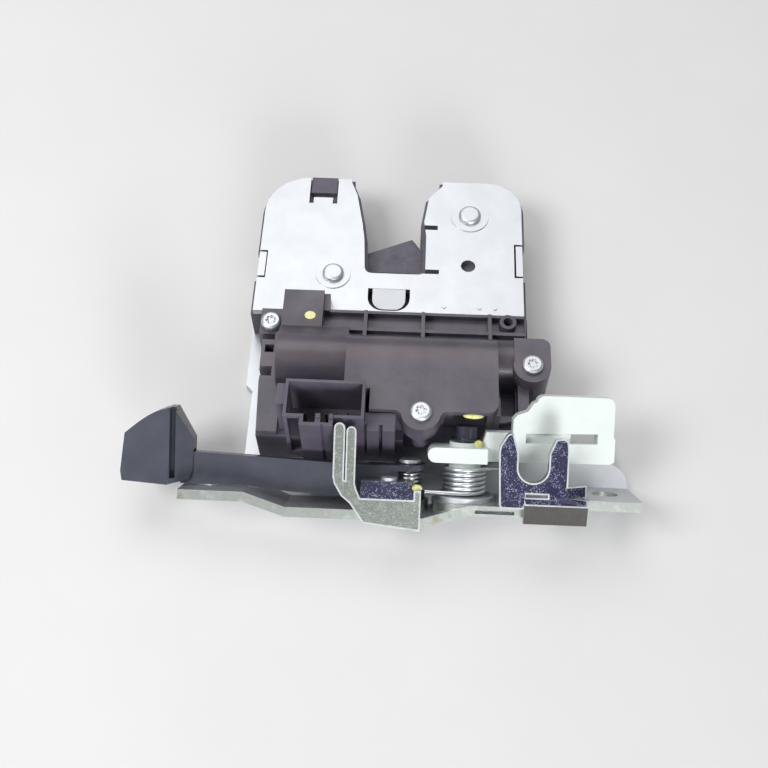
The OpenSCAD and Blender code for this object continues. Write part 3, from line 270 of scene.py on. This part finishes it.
def colours():
    """The colours that the panel lists."""
    return bpy.context.scene.latch_colours


def sizes():
    """The sizes that the panel lists."""
    return bpy.context.scene.latch_sizes


def finish(name):
    """The material of that name, made on first use."""
    return bpy.data.materials.get(name) or FINISHES[name](name)


def zinc_plated_steel(name):
    """Cold rolled sheet, bright zinc plated: near white, a soft wide gleam, faint clouds of the bath."""
    zinc = tuple(colours().zinc)
    material, tree, shader, place = new_finish(name, zinc, 0.46, 1.0)
    clouded(tree, shader, place, (shade(zinc, 0.94), shade(zinc, 1.02)), 9.0)
    # The plating's orange peel is 0.5 mm wide.
    grained(tree, shader, place, 0.5, 0.25)
    return material


def zinc_cut_edge(name):
    """Punched edge under the same plating: uneven, with yellow and grey green tints of the passivation."""
    cut = tuple(colours().zinc_cut)
    material, tree, shader, place = new_finish(name, cut, 0.34, 1.0)
    tones = (
        (0.3, mix(cut, linear("#8C8558"), 0.6)),
        (0.42, mix(cut, linear("#B9C2BE"), 0.6)),
        (0.52, mix(cut, linear("#868B85"), 0.4)),
        (0.72, shade(cut, 1.05)),
    )
    tree.links.new(banded(tree, patches(tree, place, 6.0, 5.0, 0.7), tones), shader.inputs["Base Color"])
    grained(tree, shader, place, 0.35, 0.5, 0.04)
    return material


def speckled(name, face, fleck, amount, metallic):
    """Rolled face of heavy plated sheet: a painted reflection as a flat colour, broken by fine bright
    crystals of the zinc, 0.2 mm wide.
    """
    material, tree, shader, place = new_finish(name, face, 0.42, metallic)
    values = {"Scale": per_metre(0.2), "Randomness": 1.0}
    crystals = add(tree, "ShaderNodeTexVoronoi", values, {"Vector": place})
    level = add(tree, "ShaderNodeSeparateColor", links={"Color": crystals.outputs["Color"]}).outputs["Red"]
    drift = patches(tree, place, 2.2, 3.0, 0.7)
    half = add(tree, "ShaderNodeMath", {1: 0.5}, {0: drift}, operation="MULTIPLY").outputs["Value"]
    both = add(tree, "ShaderNodeMath", {1: 0.5}, {0: level, 2: half}, operation="MULTIPLY_ADD")
    tones = ((0.3, shade(face, 0.7)), (0.95 - amount, face), (1.05 - amount, fleck))
    tree.links.new(banded(tree, both.outputs["Value"], tones), shader.inputs["Base Color"])
    grained(tree, shader, place, 0.3, 0.7, 0.05)
    return material


def plated_fork_face(name):
    """Rolled face of the fork: a dark violet painted reflection of the dark surroundings, with pale flecks.
    """
    return speckled(name, tuple(colours().fork), linear("#9295AC"), 0.3, 0.3)


def plated_bracket_face(name):
    """Rolled face of the bracket: a grey green painted reflection of the lit floor, with pale flecks."""
    return speckled(name, linear("#8E958F"), linear("#A9AFA9"), 0.3, 0.8)


def rim_painted_highlight(name):
    """Rim of the fork and of the bracket and their rounded edges: a painted highlight of bright zinc where
    the rounded border catches the light, satin.
    """
    rim = tuple(colours().rim)
    material, tree, shader, place = new_finish(name, rim, 0.4, 0.3)
    clouded(tree, shader, place, (shade(rim, 0.82), shade(rim, 1.05)), 1.6)
    return material


def smooth_lip(name):
    """Lip of the fork below the flange's edge, coined: a dim brown grey painted reflection of the shaded
    floor under the flange.
    """
    lip = tuple(colours().lip)
    material, tree, shader, place = new_finish(name, lip, 0.6)
    clouded(tree, shader, place, (shade(lip, 0.75), shade(lip, 1.15)), 3.0)
    return material


def blackened_pin(name):
    """Turned pin with a smooth black oxide skin: nearly black, sharp bright gleams."""
    black = tuple(colours().pin)
    material, tree, shader, place = new_finish(name, black, 0.16, 0.0, 1.6)
    clouded(tree, shader, place, (shade(black, 0.8), shade(black, 1.2)), 2.0)
    return material


def moulded(name, colour, roughness, dust):
    """Glass filled moulding: a matt skin with fine grain, slightly dusty in broad patches."""
    material, tree, shader, place = new_finish(name, colour, roughness, 0.0, 1.5)
    dusted = mix(shade(colour, 1.08), linear("#8F8A93"), dust)
    clouded(tree, shader, place, (shade(colour, 0.86), dusted), 11.0)
    grained(tree, shader, place, 0.22, 0.35, 0.03)
    return material


def moulded_cover(name):
    """Plum grey polyester cover, moulded: matt, brown road dust where the top rounds over to the back."""
    material = moulded(name, tuple(colours().cover), 0.33, 0.1)
    tree = material.node_tree
    shader = tree.nodes["Principled BSDF"]
    skin = shader.inputs["Base Color"].links[0].from_socket
    place = add(tree, "ShaderNodeTexCoord").outputs["Object"]
    across = add(tree, "ShaderNodeSeparateXYZ", {}, {"Vector": place}).outputs["Y"]
    along = add(tree, "ShaderNodeMapRange", {"From Min": -48 * MM, "From Max": -30 * MM}, {"Value": across})
    levels = ((0.2, 0.0), (0.4, 0.75), (0.55, 0.5), (0.8, 0.0))
    band = banded(tree, along.outputs["Result"], [(position, (level,) * 3) for position, level in levels])
    drift = patches(tree, place, 5.0, 5.0, 0.7)
    amount = add(tree, "ShaderNodeMath", {}, {0: band, 1: drift}, operation="MULTIPLY").outputs["Value"]
    dusty = add(tree, "ShaderNodeMix", data_type="RGBA")
    dusty.inputs[MIX_SECOND].default_value = (*colours().dust, 1)
    tree.links.new(amount, dusty.inputs[MIX_SHARE])
    tree.links.new(skin, dusty.inputs[MIX_FIRST])
    tree.links.new(dusty.outputs[MIX_RESULT], shader.inputs["Base Color"])
    return material


def moulded_base(name):
    """Dark polyester base, moulded: matt and deeper than the cover."""
    return moulded(name, tuple(colours().base), 0.5, 0.08)


def moulded_switch(name):
    """Black switch case, moulded."""
    return moulded(name, linear("#26262A"), 0.5, 0.0)


def polished_arm(name):
    """Blue black polyamide from a polished mould: a tight gleam and hardly any grain."""
    arm = tuple(colours().arm)
    material, tree, shader, place = new_finish(name, arm, 0.3, 0.0, 1.52)
    clouded(tree, shader, place, (shade(arm, 0.85), shade(arm, 1.12)), 7.0)
    grained(tree, shader, place, 0.6, 0.12, 0.03)
    return material


def natural_nylon(name):
    """Unpigmented nylon, moulded: milky, light enters a little way, greasy sheen."""
    nylon = tuple(colours().nylon)
    material, tree, shader, place = new_finish(name, nylon, 0.38, 0.0, 1.53)
    clouded(tree, shader, place, (mix(nylon, linear("#CFD9D5"), 0.7), shade(nylon, 1.04)), 8.0)
    shader.inputs["Subsurface Weight"].default_value = 0.35
    shader.inputs["Subsurface Radius"].default_value = (1.0, 1.0, 0.9)
    shader.inputs["Subsurface Scale"].default_value = 1.2 * MM
    grained(tree, shader, place, 0.8, 0.12, 0.03)
    return material


def bright_steel(name):
    """Drawn or turned steel with thin plating: mid grey, satin gleam."""
    steel = tuple(colours().steel)
    material, tree, shader, place = new_finish(name, steel, 0.3, 1.0)
    clouded(tree, shader, place, (shade(steel, 0.88), shade(steel, 1.08)), 2.5)
    grained(tree, shader, place, 0.25, 0.2)
    return material


def coated_catch(name):
    """Steel catch with its moulded sleeve: charcoal, matt, faint rub marks."""
    material, tree, shader, place = new_finish(name, linear("#55525E"), 0.45, 0.0, 1.5)
    clouded(tree, shader, place, (linear("#4A4753"), linear("#625F6C")), 5.0)
    grained(tree, shader, place, 0.3, 0.3, 0.03)
    return material


def hardened_steel(name):
    """Hardened steel pawl, phosphate dark with rubbed faces."""
    material, tree, shader, place = new_finish(name, linear("#6E6E72"), 0.42, 1.0)
    clouded(tree, shader, place, (linear("#5A5A5E"), linear("#85858A")), 3.0)
    grained(tree, shader, place, 0.3, 0.3)
    return material


def pressed_brass(name):
    """Punched brass strip, lightly tarnished."""
    material, tree, shader, place = new_finish(name, linear("#C9A65A"), 0.32, 1.0)
    clouded(tree, shader, place, (linear("#B08F4A"), linear("#D9B96E")), 2.0)
    return material


def tarnished_brass(name):
    """Contact pins after years in use: brown, dull, only a faint gleam at the tips."""
    material, tree, shader, place = new_finish(name, linear("#4A3D28"), 0.5, 1.0)
    clouded(tree, shader, place, (linear("#2E2619"), linear("#5C4B30")), 0.8)
    return material


def buffer_rubber(name):
    """Moulded rubber: black, matt, a bloom of dust."""
    material, tree, shader, place = new_finish(name, linear("#232326"), 0.8, 0.0, 1.5)
    clouded(tree, shader, place, (linear("#1B1B1D"), linear("#303034")), 2.0)
    grained(tree, shader, place, 0.3, 0.4, 0.03)
    return material


def yellow_grease(name):
    """Fresh yellow grease: translucent, wet gleam, smeared surface."""
    grease = tuple(colours().grease)
    material, tree, shader, place = new_finish(name, grease, 0.22, 0.0, 1.47)
    clouded(tree, shader, place, (shade(grease, 0.8), mix(grease, (1, 1, 0.8), 0.4)), 0.8)
    grained(tree, shader, place, 0.5, 0.5, 0.08)
    return material


def marking_paint(name):
    """Brushed on marking paint: pale yellow, thick in the middle."""
    paint = tuple(colours().paint)
    material, tree, shader, place = new_finish(name, paint, 0.45, 0.0, 1.5)
    clouded(tree, shader, place, (shade(paint, 0.9), mix(paint, (1, 1, 1), 0.3)), 0.6)
    return material


def plain_floor(name):
    """Plain matt floor: pale, even, barely mottled."""
    pale = tuple(colours().floor)
    material, tree, shader, place = new_finish(name, pale, 0.75)
    clouded(tree, shader, place, (shade(pale, 0.985), shade(pale, 1.01)), 60.0)
    return material


FINISHES = {
    make.__name__: make
    for make in (
        zinc_plated_steel,
        zinc_cut_edge,
        plated_fork_face,
        plated_bracket_face,
        rim_painted_highlight,
        smooth_lip,
        blackened_pin,
        moulded_cover,
        moulded_base,
        moulded_switch,
        polished_arm,
        natural_nylon,
        bright_steel,
        coated_catch,
        hardened_steel,
        pressed_brass,
        tarnished_brass,
        buffer_rubber,
        yellow_grease,
        marking_paint,
        plain_floor,
    )
}


def object_from(name, bm, finishes, smooth_angle=SMOOTH_ANGLE):
    """Makes an object of a bmesh, smooth below an angle, with its finishes in slot order."""
    mesh = bpy.data.meshes.new(name)
    bm.to_mesh(mesh)
    bm.free()
    for each in finishes:
        mesh.materials.append(finish(each))
    mesh.shade_smooth()
    mesh.set_sharp_from_angle(angle=math.radians(smooth_angle))
    made = bpy.data.objects.new(name, mesh)
    bpy.context.scene.collection.objects.link(made)
    return made


def body_with(node):
    """The CAD body that holds a node."""
    return next(body for body, nodes in frame["record"]["behaviour"]["bodies"].items() if node in nodes)


def welded(node, reach=WELD):
    """A bmesh of a CAD node's merged triangles, with its flat faces made whole."""
    bm = bmesh.new()
    bm.from_mesh(frame["nodes"][node].data)
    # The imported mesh's own layers are left behind.
    for layers in (bm.loops.layers, bm.verts.layers, bm.faces.layers):
        for kind in ("float_vector", "float_color", "color", "uv", "float", "int"):
            group = getattr(layers, kind, None)
            while group and len(group):
                group.remove(group[0])
    bmesh.ops.remove_doubles(bm, verts=bm.verts, dist=reach)
    bmesh.ops.dissolve_limit(bm, angle_limit=math.radians(FLAT_ANGLE), verts=bm.verts, edges=bm.edges)
    for face in bm.faces:
        face.material_index = 0
    return bm


def round_edges(made, width, segments, slot_index):
    """Rounds a piece's sharp edges. The rounding keeps its neighbour's finish, or takes one slot's."""
    bevel = made.modifiers.new("edges", "BEVEL")
    bevel.width = width
    bevel.segments = segments
    bevel.limit_method = "ANGLE"
    bevel.angle_limit = math.radians(SHARP_ANGLE)
    bevel.use_clamp_overlap = True
    bevel.material = slot_index
    bevel.miter_outer = "MITER_ARC"
    normals = made.modifiers.new("even_light", "WEIGHTED_NORMAL")
    normals.keep_sharp = True


def stand_for(made, node):
    """Lets a piece ride with a node's body and stand for the node, whose CAD mesh it hides."""
    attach(made, body_with(node))
    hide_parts(node)


def dressed(node, finishes, width, segments=2, choose=None, rim=None, dabs=()):
    """A CAD node with welded faces, rounded edges and its finishes.

    Choose names each face's finish, and rim the finish of a border band that paints a highlight along the
    border. A dab is a place, its half sizes and its finish.
    """
    bm = welded(node, RIM_WELD if rim else WELD)
    if choose:
        for face in bm.faces:
            face.material_index = finishes.index(choose(face))
    # On the fork and the bracket the rounded edges take the painted highlight too.
    edge_slot = finishes.index(rim) if rim else OWN_FINISH
    if rim:
        painted_highlight_band(bm, edge_slot)
    for place, spread, each in dabs:
        dab(bm, place, spread, finishes.index(each))
    made = object_from(node + "_skin", bm, finishes)
    if width:
        round_edges(made, width, segments, edge_slot)
    stand_for(made, node)


def painted_highlight_band(bm, index):
    """Lays a narrow flat band of one slot along the border of the faces of the first slot: a painted
    highlight of the rounded border.
    """
    first = [face for face in bm.faces if face.material_index == 0]
    faces = bmesh.ops.triangulate(bm, faces=first)["faces"]
    width = sizes().highlight_band_width
    band = bmesh.ops.inset_region(bm, faces=faces, thickness=width, use_even_offset=True, use_boundary=True)
    for face in band["faces"]:
        face.material_index = index


def dab(bm, place, spread, index):
    """A soft flat drop of grease or paint, half sunk into the face that it lies on."""
    form = place @ Matrix.Diagonal((*(each * MM for each in spread), 1))
    drop = bmesh.ops.create_uvsphere(bm, u_segments=DROP_AROUND, v_segments=DROP_UP, radius=1, matrix=form)
    for vert in drop["verts"]:
        for face in vert.link_faces:
            face.material_index = index


def at(x, y, z):
    """A place of the part's frame, in millimetres."""
    return Matrix.Translation((x * MM, y * MM, z * MM))


def at_flange(along, over, out):
    """A place of the flange frame: along the bend, over the flange and out from the bend, in millimetres."""
    return FLANGE @ Matrix.Translation((along * MM, -out * MM, over * MM))


def wound_wire(name, coil, wire, spring, place):
    """A torsion spring: a disc spun along a helix, with a straight leg drawn out at each end."""
    turns, start = spring["turns"], spring["start"]
    end = start + 360 * turns
    bm = bmesh.new()
    ring = bmesh.ops.create_circle(bm, cap_ends=False, segments=WIRE_SIDES, radius=wire / 2)
    turn = Matrix.Rotation(math.radians(start), 4, "Z")
    stand = turn @ Matrix.Translation((coil, 0, 0)) @ Matrix.Rotation(math.radians(90), 4, "X")
    bmesh.ops.transform(bm, matrix=stand, verts=ring["verts"])
    first = list(bm.edges)
    steps = round(turns * sizes().turn_steps)
    rise = turns * spring["pitch"] * MM / steps
    spun = bmesh.ops.spin(
        bm, geom=first, cent=(0, 0, 0), axis=(0, 0, 1), dvec=(0, 0, rise),
        angle=math.radians(360 * turns), steps=steps, use_merge=False, use_duplicate=False,
    )
    last = [each for each in spun["geom_last"] if isinstance(each, bmesh.types.BMEdge)]
    for edges, angle, leg, way in ((first, start, spring["legs"][0], -1), (last, end, spring["legs"][1], 1)):
        drawn = bmesh.ops.extrude_edge_only(bm, edges=edges)["geom"]
        moved = [each for each in drawn if isinstance(each, bmesh.types.BMVert)]
        heading = Vector((-math.sin(math.radians(angle)), math.cos(math.radians(angle)), 0))
        bmesh.ops.translate(bm, verts=moved, vec=heading * way * leg * MM)
        tip = [each for each in drawn if isinstance(each, bmesh.types.BMEdge)]
        tip = [edge for edge in tip if all(vert in moved for vert in edge.verts)]
        bmesh.ops.holes_fill(bm, edges=tip, sides=0)
    bmesh.ops.recalc_face_normals(bm, faces=bm.faces)
    bmesh.ops.transform(bm, matrix=place, verts=bm.verts)
    return object_from(name, bm, ["bright_steel"], WIRE_SMOOTH_ANGLE)


class LATCH_OT_sheets(Operator):
    """Mounting frame and lock plate"""

    bl_idname = "latch.sheets"
    bl_label = "Frame and lock plate"

    def execute(self, context):
        flange_up = FLANGE.to_3x3() @ Vector((0, 0, 1))

        def plate_face(face):
            return "zinc_plated_steel" if abs(face.normal.z) > FACING else "zinc_cut_edge"

        def frame_face(face):
            broad = abs(face.normal.z) > FACING or abs(face.normal.dot(flange_up)) > FACING
            return "zinc_plated_steel" if broad else "zinc_cut_edge"

        edge = sizes().sheet_edge
        finishes = ["zinc_plated_steel", "zinc_cut_edge"]
        dressed("lock_plate", finishes, edge, choose=plate_face)
        dressed("mounting_frame", finishes, edge, choose=frame_face)
        return {"FINISHED"}


class LATCH_OT_fork(Operator):
    """Cable fork and arm bracket"""

    bl_idname = "latch.fork"
    bl_label = "Fork and bracket"

    def execute(self, context):
        out = FLANGE.to_3x3() @ Vector((0, -1, 0))
        up = FLANGE.to_3x3() @ Vector((0, 0, 1))

        # Faces looking out take painted reflections: dark violet over the flange, and the lip's shaded floor
        # under it. The other faces take the cut edge.
        def fork_face(face):
            if face.normal.dot(out) > FORK_FACING:
                over = (FLANGE.inverted() @ face.calc_center_median()).z
                return "smooth_lip" if over < LIP_OVER else "plated_fork_face"
            return "zinc_cut_edge"

        # Faces looking out take a grey green painted reflection of the floor, and faces leaning out and up
        # take the fork's dark violet painted reflection. The rest take the cut edge.
        def bracket_face(face):
            if face.normal.dot(out) > FACING:
                return "plated_bracket_face"
            leaning = face.normal.dot(out) > LEANING and face.normal.dot(up) > LEANING
            return "plated_fork_face" if leaning else "zinc_cut_edge"

        edge = sizes().fork_edge
        finishes = ["plated_fork_face", "zinc_cut_edge", "rim_painted_highlight", "smooth_lip"]
        dressed("cable_fork", finishes, edge, 3, fork_face, "rim_painted_highlight")
        finishes = ["plated_bracket_face", "zinc_cut_edge", "plated_fork_face", "yellow_grease", "rim_painted_highlight"]
        place, spread = BRACKET_GREASE
        grease = ((at_flange(*place), spread, "yellow_grease"),)
        dressed("arm_bracket", finishes, edge, 3, bracket_face, "rim_painted_highlight", grease)
        return {"FINISHED"}


class LATCH_OT_fasteners(Operator):
    """Rivets, screws, pins and the washer"""

    bl_idname = "latch.fasteners"
    bl_label = "Rivets, screws and pins"

    def execute(self, context):
        edge = sizes().pin_edge
        for node in ("catch_rivet", "pawl_rivet", "fork_rivets", "bracket_rivet", "arm_pin", "cover_screws"):
            dressed(node, ["zinc_plated_steel"], edge)
        dressed("lever_pin", ["blackened_pin"], edge, 3)
        dressed("lever_washer", ["zinc_plated_steel"], edge)
        return {"FINISHED"}


class LATCH_OT_housing(Operator):
    """Housing base and cover"""

    bl_idname = "latch.housing"
    bl_label = "Drive housing"

    def execute(self, context):
        edge = sizes().moulded_edge
        dressed("housing_base", ["moulded_base"], edge)
        finishes = ["moulded_cover", "marking_paint", "yellow_grease"]
        drops = ((PAINT_DOT, "marking_paint"), (COVER_GREASE, "yellow_grease"))
        dabs = [(at(*place), spread, each) for (place, spread), each in drops]
        dressed("housing_cover", finishes, edge, dabs=dabs)
        return {"FINISHED"}


class LATCH_OT_lock(Operator):
    """Catch, pawl, buffer and slider"""

    bl_idname = "latch.lock"
    bl_label = "Catch and pawl"

    def execute(self, context):
        dressed("rotary_catch", ["coated_catch"], sizes().catch_edge, 3)
        dressed("pawl", ["hardened_steel"], sizes().pawl_edge)
        dressed("throat_buffer", ["buffer_rubber"], sizes().buffer_edge)
        dressed("release_slider", ["natural_nylon"], sizes().slider_edge)
        return {"FINISHED"}


class LATCH_OT_drive(Operator):
    """Motor, worm, gear, switches and contacts inside the housing"""

    bl_idname = "latch.drive"
    bl_label = "Motor and gears"

    def execute(self, context):
        for node, finish_name, slot_name in (
            ("motor", "bright_steel", "steel"),
            ("motor_worm", "pressed_brass", "brass"),
            ("worm_bearings", "natural_nylon", "white_nylon"),
            ("worm_gear", "natural_nylon", "white_nylon"),
            ("gear_axle", "bright_steel", "steel"),
            ("catch_switch", "moulded_switch", "dark_plastic"),
            ("pawl_switch", "moulded_switch", "dark_plastic"),
            ("contact_pins", "tarnished_brass", "brass"),
            ("contact_strips", "pressed_brass", "brass"),
        ):
            dressed(node, [finish_name], sizes().drive_edge)
        return {"FINISHED"}


class LATCH_OT_lever(Operator):
    """Nylon cable lever"""

    bl_idname = "latch.lever"
    bl_label = "Cable lever"

    def execute(self, context):
        place, spread = LEVER_GREASE
        finishes = ["natural_nylon", "yellow_grease"]
        grease = ((at_flange(*place), spread, "yellow_grease"),)
        dressed("release_lever", finishes, sizes().lever_edge, 3, dabs=grease)
        return {"FINISHED"}


class LATCH_OT_arm(Operator):
    """Emergency arm and its wedge"""

    bl_idname = "latch.arm"
    bl_label = "Emergency arm"

    def execute(self, context):
        edge = sizes().arm_edge
        dressed("emergency_arm", ["polished_arm"], edge)
        dressed("arm_wedge", ["polished_arm"], edge, 3)
        return {"FINISHED"}


class LATCH_OT_springs(Operator):
    """The four wound springs"""

    bl_idname = "latch.springs"
    bl_label = "Springs"

    def execute(self, context):
        own = sizes()
        for node, coil, wire, spring, frame_of in (
            ("lever_spring", own.lever_coil, own.lever_wire, LEVER_SPRING, at_flange),
            ("arm_spring", own.arm_coil, own.arm_wire, ARM_SPRING, at_flange),
            ("catch_spring", own.catch_coil, own.well_wire, CATCH_SPRING, at),
            ("pawl_spring", own.pawl_coil, own.well_wire, PAWL_SPRING, at),
        ):
            made = wound_wire(node + "_wire", coil, wire, spring, frame_of(*spring["place"]))
            stand_for(made, node)
        return {"FINISHED"}


class LATCH_OT_stage(Operator):
    """Floor, light and camera"""

    bl_idname = "latch.stage"
    bl_label = "Stage"

    def execute(self, context):
        scene = context.scene
        bm = bmesh.new()
        bmesh.ops.create_grid(bm, x_segments=8, y_segments=8, size=FLOOR_HALF)
        bmesh.ops.translate(bm, verts=bm.verts, vec=(0, 0, -FLOOR_DROP))
        floor = object_from("floor", bm, ["plain_floor"])

        world = bpy.data.worlds.new("soft_room")
        scene.world = world
        world.use_nodes = True
        room = world.node_tree.nodes["Background"]
        room.inputs["Color"].default_value = ROOM_COLOUR
        room.inputs["Strength"].default_value = ROOM_STRENGTH
        for name, place, side, power in LAMPS:
            lamp = bpy.data.lights.new(name, "AREA")
            lamp.shape = "SQUARE"
            lamp.size = side
            lamp.energy = power
            light = bpy.data.objects.new(name, lamp)
            light.location = place
            light.rotation_mode = "QUATERNION"
            light.rotation_quaternion = (Vector(LAMP_AIM) - Vector(place)).to_track_quat("-Z", "Y")
            scene.collection.objects.link(light)

        lens = bpy.data.cameras.new("camera")
        lens.lens = CAMERA_LENS
        lens.sensor_width = 36
        lens.clip_start, lens.clip_end = 0.01, 20
        camera = bpy.data.objects.new("camera", lens)
        camera.location = CAMERA_PLACE
        camera.rotation_mode = "QUATERNION"
        side, up = math.radians(CAMERA_SIDE), math.radians(CAMERA_ABOVE)
        ahead = Vector((-math.sin(side) * math.cos(up), math.cos(side) * math.cos(up), -math.sin(up)))
        camera.rotation_quaternion = ahead.to_track_quat("-Z", "Y")
        scene.collection.objects.link(camera)
        scene.camera = camera
        scene.view_settings.view_transform = "Standard"
        return {"FINISHED"}


OPERATORS = (
    LATCH_OT_sheets,
    LATCH_OT_fork,
    LATCH_OT_fasteners,
    LATCH_OT_housing,
    LATCH_OT_lock,
    LATCH_OT_drive,
    LATCH_OT_lever,
    LATCH_OT_arm,
    LATCH_OT_springs,
    LATCH_OT_stage,
)


class LATCH_PT_panel(Panel):
    """Lists the latch's pieces, sizes and colours"""

    bl_idname = "LATCH_PT_panel"
    bl_label = "Tailgate latch"
    bl_space_type = "VIEW_3D"
    bl_region_type = "UI"
    bl_category = "Latch"

    def draw(self, context):
        for group in (context.scene.latch_sizes, context.scene.latch_colours):
            for key in group.__annotations__:
                self.layout.prop(group, key)
        for each in OPERATORS:
            self.layout.operator(each.bl_idname)


CLASSES = (LatchSizes, LatchColours, *OPERATORS, LATCH_PT_panel)


def register():
    for each in CLASSES:
        bpy.utils.register_class(each)
    bpy.types.Scene.latch_sizes = PointerProperty(type=LatchSizes)
    bpy.types.Scene.latch_colours = PointerProperty(type=LatchColours)


def unregister():
    del bpy.types.Scene.latch_sizes
    del bpy.types.Scene.latch_colours
    for each in reversed(CLASSES):
        bpy.utils.unregister_class(each)


def main():
    """Makes every piece in order."""
    register()
    for each in OPERATORS:
        group, name = each.bl_idname.split(".")
        getattr(getattr(bpy.ops, group), name)()


if __name__ == "__main__":
    main()
